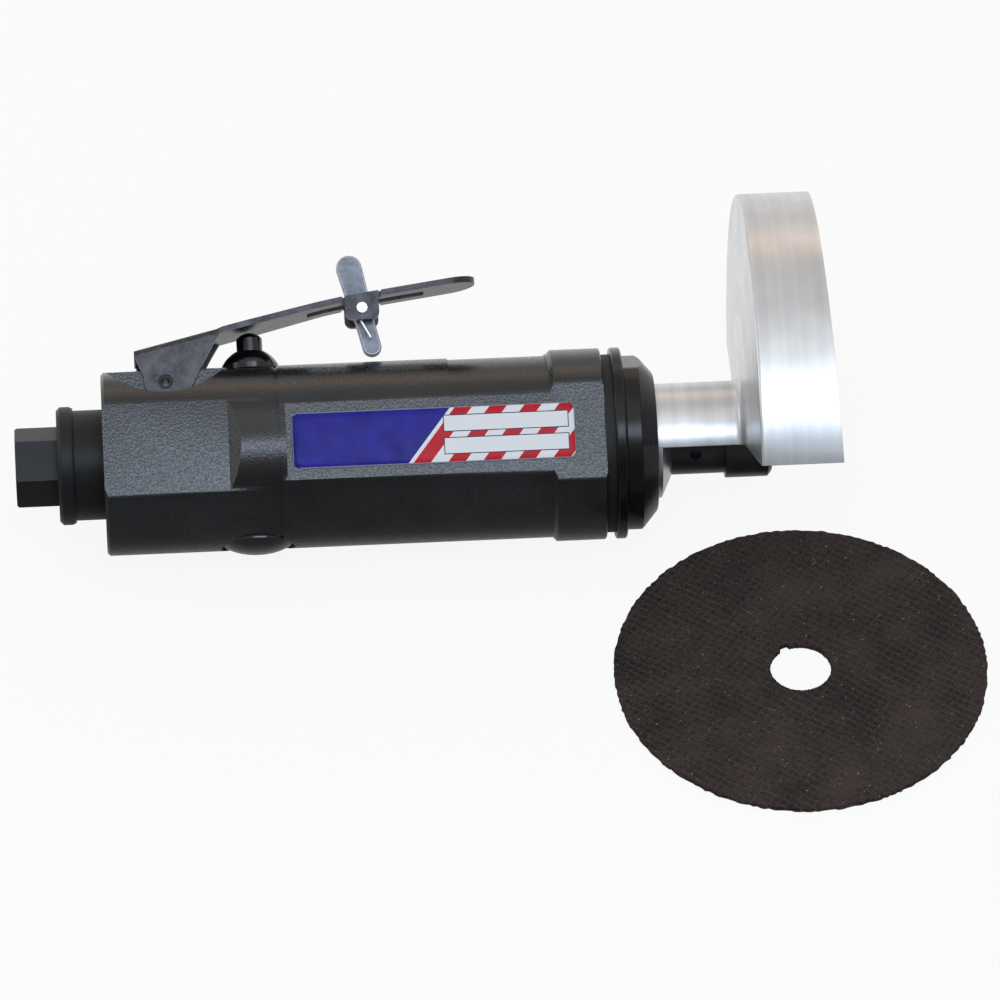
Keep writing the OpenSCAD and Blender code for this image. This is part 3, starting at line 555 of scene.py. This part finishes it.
# Woven brass wire: warm yellow with dull crossings
BRASS = Finish("woven_brass", "#8f7a42", "#c5ac66", 0.9, (0.3, 0.45), 0.3, 0.01)
# Moulded nylon: soft black with a faint spark grain
NYLON = Finish("moulded_nylon", "#0d0e10", "#18191c", 0.0, (0.4, 0.55), 0.35, 0.02, specular=0.35)
# Polished black chrome on the valve: deep black with a narrow highlight
POLISHED = Finish("polished_black", "#070709", "#101013", 0.0, (0.16, 0.26), 0.5, 0.003, coat=0.3)
# Nitrile rubber: matt black
RUBBER = Finish("nitrile_rubber", "#0a0a0b", "#161617", 0.0, (0.55, 0.7), 0.4, 0.02)
# Drawn spring wire: bright and smooth
WIRE = Finish("spring_wire", "#b4b6ba", "#e2e3e6", 1.0, (0.18, 0.3), 0.2, 0.004)
# Gunmetal plated sheet steel: dark grey, faintly mottled
GUNMETAL = Finish("gunmetal_sheet", "#303032", "#5a595c", 0.9, (0.32, 0.46), 0.5, 0.008, patch_mm=3.5)
# The lever's rounded edges painted paler than its steel, a painted highlight
PAINTED_HIGHLIGHT_STEEL = Finish("painted_highlight_steel_edge", "#5c5d60", "#88898c", 1.0, (0.24, 0.36), 0.22, 0.004)
# Ground dowel steel: almost white
DOWEL = Finish("ground_dowel_steel", "#b9b9b8", "#d6d6d4", 1.0, (0.14, 0.24), 0.3, 0.004)
# Cast zinc, tumbled: mottled light grey
ZINC = Finish("tumbled_zinc", "#565a62", "#8b9098", 0.7, (0.34, 0.5), 0.9, 0.03, patch_mm=4.0)
# The casting's rounded rim painted paler than the zinc, a painted highlight
PAINTED_HIGHLIGHT_ZINC = Finish("painted_highlight_zinc_edge", "#92979f", "#c4c8ce", 0.8, (0.26, 0.38), 0.6, 0.01)
# Hard anodised nose, turned: black with fine rings
ANODISED = TurnedMetal("hard_anodised_black", "#09090b", "#151518", 0.0, (0.18, 0.28), specular=0.35)
# Turned aluminium: pale grey with fine rings and soft bright bands
ALUMINIUM = TurnedMetal("turned_aluminium", "#cccdcf", "#e0e1e2", 1.0, (0.31, 0.39), 0.32, 0.003)
# Machined cast iron of the motor: mid grey
IRON = TurnedMetal("machined_iron", "#7c7e83", "#a7a9ad", 0.95, (0.3, 0.45))
# Ground bearing steel: bright grey
RACE = TurnedMetal("ground_bearing_steel", "#b8babd", "#dcdde0", 1.0, (0.14, 0.24))
# Phenolic resin laminate of the vanes: brown with fibres along the rotor
LAMINATE = Finish("phenolic_laminate", "#33241a", "#54402f", 0.0, (0.5, 0.65), 0.5, 0.02, Grain.ALONG_X)
# Abrasive in resin bond: brown black, with the weave showing
GRIT = BondedGrit("bonded_grit")

Surface = Finish | WrinkleEnamel | TurnedMetal

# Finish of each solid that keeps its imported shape
SOLIDS: dict[str, Surface] = {
    "inlet_screen": BRASS,
    "valve_bushing": POLISHED,
    "stem_seal": RUBBER,
    "valve_stem": POLISHED,
    "valve_plug": POLISHED,
    "plug_seal": RUBBER,
    "lever_pin": OXIDE,
    "lock_spring": WIRE,
    "nose_seal": RUBBER,
    "rear_end_plate": IRON,
    "rear_bearing": RACE,
    "motor_cylinder": IRON,
    "rotor": IRON,
    "rotor_vanes": LAMINATE,
    "front_end_plate": IRON,
    "front_bearing": RACE,
}


def only(piece: bpy.types.Object) -> None:
    """Make a piece the only one selected, and the active one."""
    bpy.ops.object.select_all(action="DESELECT")
    piece.select_set(True)
    bpy.context.view_layer.objects.active = piece


def dress(piece: bpy.types.Object, *materials: bpy.types.Material) -> None:
    """Give a piece these materials in place of any it has."""
    piece.data.materials.clear()
    for material in materials:
        piece.data.materials.append(material)


def apply_modifier(piece: bpy.types.Object, kind: str, **settings: object) -> None:
    """Add a modifier to the active piece, set it, and apply it.

    Args:
        piece: The active piece.
        kind: Type name of the modifier.
        **settings: Its properties.
    """
    modifier = piece.modifiers.new(kind.title(), kind)
    for key, value in settings.items():
        setattr(modifier, key, value)
    bpy.ops.object.modifier_apply(modifier=modifier.name)


def pick_edges(piece: bpy.types.Object, test: Callable[[Vector, Vector], bool]) -> int:
    """Select the edges of the active piece whose two ends pass a test, and no others, in edit mode.

    Args:
        piece: The active piece, in edit mode.
        test: Says of an edge's two ends whether the edge is wanted.

    Returns:
        How many edges were selected.
    """
    bpy.ops.mesh.select_mode(type="EDGE")
    bpy.ops.mesh.select_all(action="DESELECT")
    bpy.ops.object.mode_set(mode="OBJECT")
    points = piece.data.vertices
    wanted = [edge for edge in piece.data.edges if test(*(points[i].co for i in edge.vertices))]
    for edge in wanted:
        edge.select = True
    bpy.ops.object.mode_set(mode="EDIT")
    return len(wanted)


def place_piece(piece: bpy.types.Object, body: Body, node: str | None = None) -> None:
    """Hand a finished piece to the frame.

    Args:
        piece: The piece, with its place in its mesh.
        body: Body that it rides on.
        node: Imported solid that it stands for, if any.
    """
    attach(piece, body.value)
    if node:
        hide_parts(node)
    LOG.info("%s: %d faces", piece.name, len(piece.data.polygons))


@dataclass(frozen=True)
class SoftenedSolid:
    """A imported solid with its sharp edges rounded, as casting, paint and deburring leave them."""

    node: str
    body: Body
    slot: str
    finish: Surface
    edge_mm: float
    segments: int = 2
    # A lighter copy of the finish for the rounded edges: a painted highlight
    edge_highlight_finish: Surface | None = None
    # Edges sharper than this are rounded
    sharp: float = math.radians(32)
    # Faces that meet at less than this are taken as one
    flat: float = math.radians(0.6)

    def shape(self, piece: bpy.types.Object) -> None:
        """Shape the merged copy further, in edit mode, before its edges are rounded."""

    def build(self, nodes: dict[str, bpy.types.Object]) -> bpy.types.Object:
        """Model the piece from the solid's surface.

        Args:
            nodes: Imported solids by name.

        Returns:
            The piece, in place of its solid.
        """
        piece = bpy.data.objects.new(f"{self.node}_soft", nodes[self.node].data.copy())
        bpy.context.scene.collection.objects.link(piece)
        only(piece)
        bpy.ops.object.mode_set(mode="EDIT")
        bpy.ops.mesh.select_all(action="SELECT")
        bpy.ops.mesh.remove_doubles(threshold=MERGE_MM * MM)
        bpy.ops.mesh.dissolve_limited(angle_limit=self.flat)
        self.shape(piece)
        bpy.ops.object.mode_set(mode="OBJECT")
        bpy.ops.mesh.customdata_custom_splitnormals_clear()
        surfaces = [self.finish.build()]
        # The lighter copy goes on the rounded edges, as a painted highlight
        if self.edge_highlight_finish:
            surfaces.append(self.edge_highlight_finish.build())
        dress(piece, *surfaces)
        apply_modifier(
            piece,
            "BEVEL",
            width=self.edge_mm * MM,
            segments=self.segments,
            limit_method="ANGLE",
            angle_limit=self.sharp,
            use_clamp_overlap=True,
            material=len(surfaces) - 1,
        )
        bpy.ops.object.shade_smooth_by_angle(angle=self.sharp)
        apply_modifier(piece, "WEIGHTED_NORMAL", keep_sharp=True)
        place_piece(piece, self.body, self.node)
        return piece


@dataclass(frozen=True)
class FoldedLever(SoftenedSolid):
    """The throttle lever, with the round folds where its strap turns down into the two ears."""

    pivot_mm: tuple[float, float] = (-164.3, 20.5)
    rise_mm: float = 11.0
    slope: float = math.radians(13)
    half_w_mm: float = 9.0
    fold_end_mm: float = 14.5
    fold_mm: float = 1.65
    fold_steps: int = 6
    # A point this near to an edge counts as on it
    near_mm: float = 0.05

    def on_fold(self, point: Vector) -> bool:
        """Say whether a point lies on one of the strap's upper edges, where it is folded."""
        x, y, z = in_upright_mm(point)
        ahead = x - self.pivot_mm[0]
        top = self.pivot_mm[1] + self.rise_mm + ahead * math.tan(self.slope)
        at_side = abs(abs(y) - self.half_w_mm) < self.near_mm
        at_top = abs(z - top) < self.near_mm
        return at_side and at_top and ahead < self.fold_end_mm + self.near_mm

    def shape(self, piece: bpy.types.Object) -> None:
        """Cut the strap's edges where the folds end, and roll them."""
        cut = ((self.pivot_mm[0] + self.fold_end_mm) * MM, 0, 0)
        bpy.ops.mesh.select_all(action="SELECT")
        bpy.ops.mesh.bisect(plane_co=cut, plane_no=(1, 0, 0))
        count = pick_edges(piece, lambda a, b: self.on_fold(a) and self.on_fold(b) and a.x != b.x)
        LOG.info("lever folds: %d edges", count)
        bpy.ops.mesh.bevel(
            offset=self.fold_mm * MM,
            segments=self.fold_steps,
            affect="EDGES",
            clamp_overlap=True,
        )


@dataclass(frozen=True)
class ValveSpring(SoftenedSolid):
    """The coil below the valve stem; the real coil shortens as the stem goes down, but this piece keeps one
    shape.
    """

    joint: str = "stem_slide"
    foot_mm: tuple[float, float, float] = (-141.0, 0.0, -12.33)
    length_mm: float = 9.87
    travel_mm: float = 2.6

    def build(self, nodes: dict[str, bpy.types.Object]) -> bpy.types.Object:
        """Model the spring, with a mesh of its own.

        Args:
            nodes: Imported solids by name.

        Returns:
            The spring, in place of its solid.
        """
        piece = super().build(nodes)
        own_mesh(piece)
        return piece


@dataclass(frozen=True)
class Wheel:
    """The loose cutting wheel: a thin pressed disc with a ragged rim and a ragged, notched hole."""

    radius_mm: float = 50.5
    hole_mm: float = 8.3
    thick_mm: float = 1.5
    ahead_mm: float = 4.0
    aside_mm: float = 63.0
    ragged_mm: float = 0.26
    hole_ragged_mm: float = 0.1
    spokes: int = 300
    rings_mm: tuple[float, ...] = (50.1, 47.0, 40.0, 32.0, 24.0, 16.0, 11.8, 10.0)
    notch_turn: float = math.radians(118)
    notch_half: float = math.radians(9)
    notch_mm: float = 1.1
    notch_reach_mm: float = 0.45
    edge_mm: float = 0.12
    # The disc is a little thinner than its solid, and lies in the solid's middle
    lift_mm: float = 0.05
    rim_seed: int = 4
    hole_seed: int = 9
    sharp: float = math.radians(60)
    smooth: float = math.radians(40)

    def build(self) -> bpy.types.Object:
        """Model the wheel from a circle that is drawn in ring by ring.

        Returns:
            The wheel, lying on the bench.
        """
        bpy.ops.object.select_all(action="DESELECT")
        bpy.ops.mesh.primitive_circle_add(vertices=self.spokes, radius=self.radius_mm * MM)
        piece = bpy.context.object
        piece.name = "abrasive_wheel"
        bpy.ops.object.mode_set(mode="EDIT")
        bpy.ops.mesh.select_all(action="SELECT")
        bpy.ops.transform.vertex_random(
            offset=self.ragged_mm * MM,
            uniform=1.0,
            normal=0.0,
            seed=self.rim_seed,
        )
        last = self.radius_mm
        for ring in (*self.rings_mm, self.hole_mm):
            bpy.ops.mesh.extrude_edges_move()
            bpy.ops.transform.resize(value=(ring / last, ring / last, 1), center_override=(0, 0, 0))
            last = ring
        bpy.ops.transform.vertex_random(
            offset=self.hole_ragged_mm * MM,
            uniform=1.0,
            normal=0.0,
            seed=self.hole_seed,
        )
        pick_edges(piece, lambda a, b: self.in_notch(a) and self.in_notch(b))
        outward = Vector((math.cos(self.notch_turn), math.sin(self.notch_turn), 0))
        bpy.ops.transform.translate(value=outward * self.notch_mm * MM)
        bpy.ops.mesh.select_all(action="SELECT")
        bpy.ops.transform.resize(value=(1, 1, 0), center_override=(0, 0, 0))
        bpy.ops.mesh.normals_make_consistent(inside=False)
        bpy.ops.object.mode_set(mode="OBJECT")
        apply_modifier(piece, "SOLIDIFY", thickness=self.thick_mm * MM, offset=0.0)
        apply_modifier(
            piece,
            "BEVEL",
            width=self.edge_mm * MM,
            segments=1,
            limit_method="ANGLE",
            angle_limit=self.sharp,
        )
        bpy.ops.object.shade_smooth_by_angle(angle=self.smooth)
        low = self.thick_mm / 2 + self.lift_mm
        piece.location = (self.ahead_mm * MM, -self.aside_mm * MM, BENCH_Z + low * MM)
        bpy.ops.object.transform_apply(location=True, rotation=True, scale=True)
        dress(piece, GRIT.build())
        place_piece(piece, Body.TOOL, "cutting_wheel")
        return piece

    def in_notch(self, point: Vector) -> bool:
        """Say whether a point lies on the hole's edge, in the notch."""
        turn = math.atan2(point.y, point.x)
        at_hole = point.length < (self.hole_mm + self.notch_reach_mm) * MM
        return at_hole and abs(turn - self.notch_turn) < self.notch_half


@dataclass(frozen=True)
class Plate:
    """The printed plate on the long flat, with a clear dome that swells from its edge."""

    length_mm: float = 76.8
    height_mm: float = 15.4
    corner_mm: float = 2.6
    centre_x_mm: float = -92.5
    flat_mm: float = 22.72
    rise_mm: float = 0.42
    # Each step of the dome: how far in, and how far up
    steps_mm: tuple[tuple[float, float], ...] = ((0.2, 0.2), (0.4, 0.14), (0.7, 0.1), (0.8, 0.05))
    corner_steps: int = 10
    smooth: float = math.radians(50)

    def build(self) -> bpy.types.Object:
        """Model the plate from a plane that is rounded, raised and inset.

        Returns:
            The plate, on the near flat.
        """
        bpy.ops.object.select_all(action="DESELECT")
        bpy.ops.mesh.primitive_plane_add(size=1)
        piece = bpy.context.object
        piece.name = "printed_plate"
        piece.scale = (self.length_mm * MM, self.height_mm * MM, 1)
        bpy.ops.object.transform_apply(location=True, rotation=True, scale=True)
        bpy.ops.object.mode_set(mode="EDIT")
        bpy.ops.mesh.select_all(action="SELECT")
        bpy.ops.mesh.bevel(affect="VERTICES", offset=self.corner_mm * MM, segments=self.corner_steps)
        bpy.ops.mesh.select_all(action="SELECT")
        bpy.ops.mesh.extrude_region_move()
        bpy.ops.transform.translate(value=(0, 0, self.rise_mm * MM))
        for inset, rise in self.steps_mm:
            bpy.ops.mesh.inset(thickness=inset * MM, depth=0)
            bpy.ops.transform.translate(value=(0, 0, rise * MM))
        bpy.ops.mesh.select_all(action="SELECT")
        bpy.ops.mesh.normals_make_consistent(inside=False)
        bpy.ops.object.mode_set(mode="OBJECT")
        bpy.ops.object.shade_smooth_by_angle(angle=self.smooth)
        centre = upright(self.centre_x_mm, -self.flat_mm, 0)
        tilt = math.pi / 2 - LIE_ROLL
        piece.location = centre
        piece.rotation_euler = (tilt, 0, 0)
        bpy.ops.object.transform_apply(location=True, rotation=True, scale=True)
        half = (self.length_mm / 2, self.height_mm / 2)
        dress(piece, PrintedResin("printed_resin", half, tuple(centre), tilt).build())
        place_piece(piece, Body.TOOL, "name_plate")
        return piece


@dataclass(frozen=True)
class Thread:
    """Screw thread in a tapped hole on the spindle's axis."""

    name: str
    body: Body
    slot: str
    hole_mm: float
    from_mm: float
    pitch_mm: float
    turns: int
    tooth_mm: float
    steps: int = 40
    smooth: float = math.radians(30)

    def build(self) -> bpy.types.Object:
        """Model the thread from a triangle that is screwed along the axis.

        Returns:
            The thread, set a little into the hole's wall.
        """
        bpy.ops.object.select_all(action="DESELECT")
        place = (self.from_mm * MM, self.hole_mm * MM, 0)
        bpy.ops.mesh.primitive_circle_add(vertices=TRIANGLE, radius=self.tooth_mm * MM, location=place)
        piece = bpy.context.object
        piece.name = self.name
        bpy.ops.object.mode_set(mode="EDIT")
        bpy.ops.mesh.select_all(action="SELECT")
        bpy.ops.transform.rotate(value=math.pi, orient_axis="Z", center_override=place)
        bpy.ops.object.mode_set(mode="OBJECT")
        bpy.ops.object.transform_apply(location=True, rotation=True, scale=True)
        apply_modifier(
            piece,
            "SCREW",
            axis="X",
            screw_offset=self.pitch_mm * MM,
            iterations=self.turns,
            steps=self.steps,
            render_steps=self.steps,
        )
        bpy.ops.object.mode_set(mode="EDIT")
        bpy.ops.mesh.select_all(action="SELECT")
        bpy.ops.mesh.remove_doubles(threshold=MERGE_MM * MM)
        bpy.ops.mesh.fill_holes(sides=TRIANGLE)
        bpy.ops.mesh.normals_make_consistent(inside=False)
        bpy.ops.object.mode_set(mode="OBJECT")
        bpy.ops.object.shade_smooth_by_angle(angle=self.smooth)
        dress(piece, OXIDE.build())
        place_piece(piece, self.body)
        return piece


# The number after the finish is the width of the rounded edge in millimetres, and the next its steps; a last
# finish is a lighter copy laid on the rounded edges, a painted highlight
SOFTENED = (
    SoftenedSolid("housing", Body.TOOL, "wrinkle_black", ENAMEL, 0.35),
    # The bushing's rounded edges take the lighter oxide, a painted highlight
    SoftenedSolid("inlet_bushing", Body.TOOL, "black_steel", OXIDE, 0.25, edge_highlight_finish=PAINTED_LIGHT_OXIDE),
    SoftenedSolid("exhaust_deflector", Body.TOOL, "black_plastic", NYLON, 0.25),
    # The lever's rounded edges take paler steel, a painted highlight
    FoldedLever("throttle_lever", Body.LEVER, "lever_steel", GUNMETAL, 0.3, 3, PAINTED_HIGHLIGHT_STEEL),
    SoftenedSolid("lock_pin", Body.LEVER, "bright_steel", DOWEL, 0.28, 3),
    # The lock's rounded rim takes paler zinc, a painted highlight
    SoftenedSolid("lock_lever", Body.LOCK, "zinc_grey", ZINC, 0.8, 3, PAINTED_HIGHLIGHT_ZINC),
    ValveSpring("valve_spring", Body.TOOL, "spring_steel", WIRE, 0.14),
    SoftenedSolid("clamp_ring", Body.TOOL, "gloss_black_metal", ANODISED, 0.15),
    SoftenedSolid("nose_cap", Body.TOOL, "gloss_black_metal", ANODISED, 0.3),
    # The spindle and flange wear the lighter oxide all over, as painted light against the shade they lie in
    SoftenedSolid("spindle", Body.ROTOR, "black_steel", PAINTED_LIGHT_OXIDE, 0.2),
    SoftenedSolid("inner_flange", Body.ROTOR, "black_steel", PAINTED_LIGHT_OXIDE, 0.2),
    SoftenedSolid("wheel_guard", Body.TOOL, "guard_aluminium", ALUMINIUM, 0.35),
)

THREADS = (
    Thread(
        "inlet_thread",
        Body.TOOL,
        "black_steel",
        hole_mm=5.62,
        from_mm=-205.2,
        pitch_mm=1.41,
        turns=8,
        tooth_mm=0.5,
    ),
    Thread(
        "arbor_thread",
        Body.ROTOR,
        "black_steel",
        hole_mm=3.32,
        from_mm=-9.4,
        pitch_mm=1.06,
        turns=9,
        tooth_mm=0.36,
    ),
)


@dataclass(frozen=True)
class Lamp:
    """One soft rectangular light, aimed at the tool."""

    name: str
    place: tuple[float, float, float]
    size: tuple[float, float]
    watts: float
    tint: tuple[float, float, float] = (1.0, 1.0, 1.0)
    aim: tuple[float, float, float] = (-0.07, -0.01, 0.0)

    def build(self) -> bpy.types.Object:
        """Add the light.

        Returns:
            The light's object.
        """
        data = bpy.data.lights.new(self.name, "AREA")
        data.shape = "RECTANGLE"
        data.size, data.size_y = self.size
        data.energy = self.watts
        data.color = self.tint
        lamp = bpy.data.objects.new(self.name, data)
        lamp.location = self.place
        lamp.rotation_euler = (Vector(self.aim) - Vector(self.place)).to_track_quat("-Z", "Y").to_euler()
        bpy.context.scene.collection.objects.link(lamp)
        return lamp


@dataclass(frozen=True)
class Studio:
    """White stage, soft lights and the camera at the photograph's angle."""

    lamps: tuple[Lamp, ...] = (
        Lamp("key", (-0.03, -0.48, 0.885), (0.7, 0.27), 3.0, (0.7, 0.82, 1.0)),
        Lamp("top", (-0.02, 0.02, 1.1), (0.8, 0.3), 0.42),
        Lamp("left", (-1.1, 0.2, 0.45), (0.7, 0.7), 1.3),
        Lamp("back", (0.0, 1.03, 0.62), (1.2, 0.3), 0.85, (1.0, 0.63, 0.36)),
    )
    yaw: float = math.radians(3.3)
    pitch: float = math.radians(47.1)
    distance: float = 2.6
    seat_px: tuple[float, float] = (770.0, 436.5)
    sensor_mm: float = 36.0
    clip: tuple[float, float] = (0.05, 20.0)
    # Even light from all round, on everything but what a gloss mirrors
    glow: float = 0.5
    # What a gloss mirrors: the room on the viewer's side, the sky behind, and the bench behind
    dim: float = 0.15
    mirrored: float = 0.64
    paper: float = 1.0
    # Where the mirrored sky goes from dim to full: along this direction, between these leans
    bright_way: tuple[float, float, float] = (0.0, 0.85, 0.53)
    bright_lean: tuple[float, float] = (-0.6, 0.3)
    bench_size: float = 6.0
    bench_gap_mm: float = 0.1
    bench_tone: float = 0.86
    # Half the width of the strip under the tool where the mirrored bench goes from dim to full
    bench_turn: float = 0.03
    # Share of the bench's look that takes no shadow
    bench_plain: float = 0.9

    def rays(self, graph: Graph) -> tuple[Socket, Socket]:
        """Tell the rays apart that meet the bench or the sky.

        Args:
            graph: Tree to add to.

        Returns:
            One for a ray straight from the camera, and one for a ray that a surface mirrors or lets through.
        """
        seen = graph.add("LightPath", output="Is Camera Ray")
        gloss = graph.add("LightPath", output="Is Glossy Ray")
        through = graph.add("LightPath", output="Is Transmission Ray")
        return seen, graph.add("Math", {0: gloss, 1: through}, operation="MAXIMUM")

    def stage(self) -> None:
        """Add a wide white bench top that takes only a faint shadow."""
        bpy.ops.object.select_all(action="DESELECT")
        level = BENCH_Z - self.bench_gap_mm * MM
        bpy.ops.mesh.primitive_plane_add(size=self.bench_size, location=(0, 0, level))
        bench = bpy.context.object
        bench.name = "bench"
        material = bpy.data.materials.new("white_paper")
        graph = Graph(material)
        seen, bounced = self.rays(graph)
        share = graph.add("Math", {0: seen, 1: bounced}, operation="MAXIMUM")
        place = graph.add("TexCoord", output="Object")
        behind = graph.add("VectorMath", {0: place, 1: (0, 1, 0)}, "Value", operation="DOT_PRODUCT")
        spread = {0: behind, 1: -self.bench_turn, 2: self.bench_turn, 3: self.dim, 4: self.paper}
        room = graph.add("MapRange", spread)
        dimmed = graph.add("Math", {0: bounced, 1: room}, operation="MULTIPLY")
        strength = graph.add("Math", {0: seen, 1: dimmed}, operation="MAXIMUM")
        part = graph.add("Math", {0: share, 1: self.bench_plain}, operation="MULTIPLY")
        tone = self.bench_tone
        lit = graph.add("BsdfDiffuse", {"Color": (tone, tone, tone, 1)})
        white = graph.add("Emission", {"Strength": strength})
        mixed = graph.add("MixShader", {0: part, 1: lit, 2: white})
        graph.add("OutputMaterial", {"Surface": mixed})
        dress(bench, material)

    def sky(self) -> None:
        """Light the scene evenly, and show plain white behind it."""
        world = bpy.data.worlds.new("studio")
        bpy.context.scene.world = world
        graph = Graph(world)
        seen, bounced = self.rays(graph)
        way = graph.add("TexCoord", output="Generated")
        lean = graph.add("VectorMath", {0: way, 1: self.bright_way}, "Value", operation="DOT_PRODUCT")
        low_lean, high_lean = self.bright_lean
        room = graph.add("MapRange", {0: lean, 1: low_lean, 2: high_lean, 3: self.dim, 4: self.mirrored})
        dimmed = graph.add("Math", {0: bounced, 1: room}, operation="MULTIPLY")
        white = graph.add("Math", {0: seen, 1: dimmed}, operation="MAXIMUM")
        plain = graph.add("Math", {0: 1.0, 1: bounced}, operation="SUBTRACT")
        even = graph.add("Math", {0: plain, 1: self.glow}, operation="MULTIPLY")
        strength = graph.add("Math", {0: white, 1: even}, operation="MAXIMUM")
        light = graph.add("Background", {"Color": (1, 1, 1, 1), "Strength": strength})
        graph.add("OutputWorld", {"Surface": light})

    def camera(self) -> None:
        """Set the camera so that the wheel seat falls where the photograph shows it."""
        sin_y, cos_y = math.sin(self.yaw), math.cos(self.yaw)
        sin_p, cos_p = math.sin(self.pitch), math.cos(self.pitch)
        back = Vector((-sin_y * cos_p, -cos_y * cos_p, sin_p))
        right = Vector((cos_y, -sin_y, 0))
        up = back.cross(right)
        half = FRAME_PX / 2
        offset = right * (half - self.seat_px[0]) - up * (half - self.seat_px[1])
        target = offset * (MM / PX_PER_MM)
        data = bpy.data.cameras.new("camera")
        data.sensor_width = self.sensor_mm
        data.lens = data.sensor_width * self.distance / (FRAME_PX / PX_PER_MM * MM)
        data.clip_start, data.clip_end = self.clip
        camera = bpy.data.objects.new("camera", data)
        camera.location = target + back * self.distance
        camera.rotation_mode = "QUATERNION"
        camera.rotation_quaternion = (-back).to_track_quat("-Z", "Y")
        bpy.context.scene.collection.objects.link(camera)
        bpy.context.scene.camera = camera

    def build(self) -> None:
        """Set the stage, the lights and the camera."""
        self.stage()
        self.sky()
        for lamp in self.lamps:
            lamp.build()
        self.camera()
        bpy.context.scene.view_settings.view_transform = "Standard"


def main() -> None:
    """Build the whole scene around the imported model."""
    logging.basicConfig(level=logging.INFO, format="%(name)s: %(message)s")
    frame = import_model()
    nodes = frame["nodes"]
    for name, finish in SOLIDS.items():
        dress(nodes[name], finish.build())
        LOG.info("%s: %s", name, finish.name)
    for solid in SOFTENED:
        solid.build(nodes)
    Wheel().build()
    Plate().build()
    for thread in THREADS:
        thread.build()
    Studio().build()


if __name__ == "__main__":
    main()
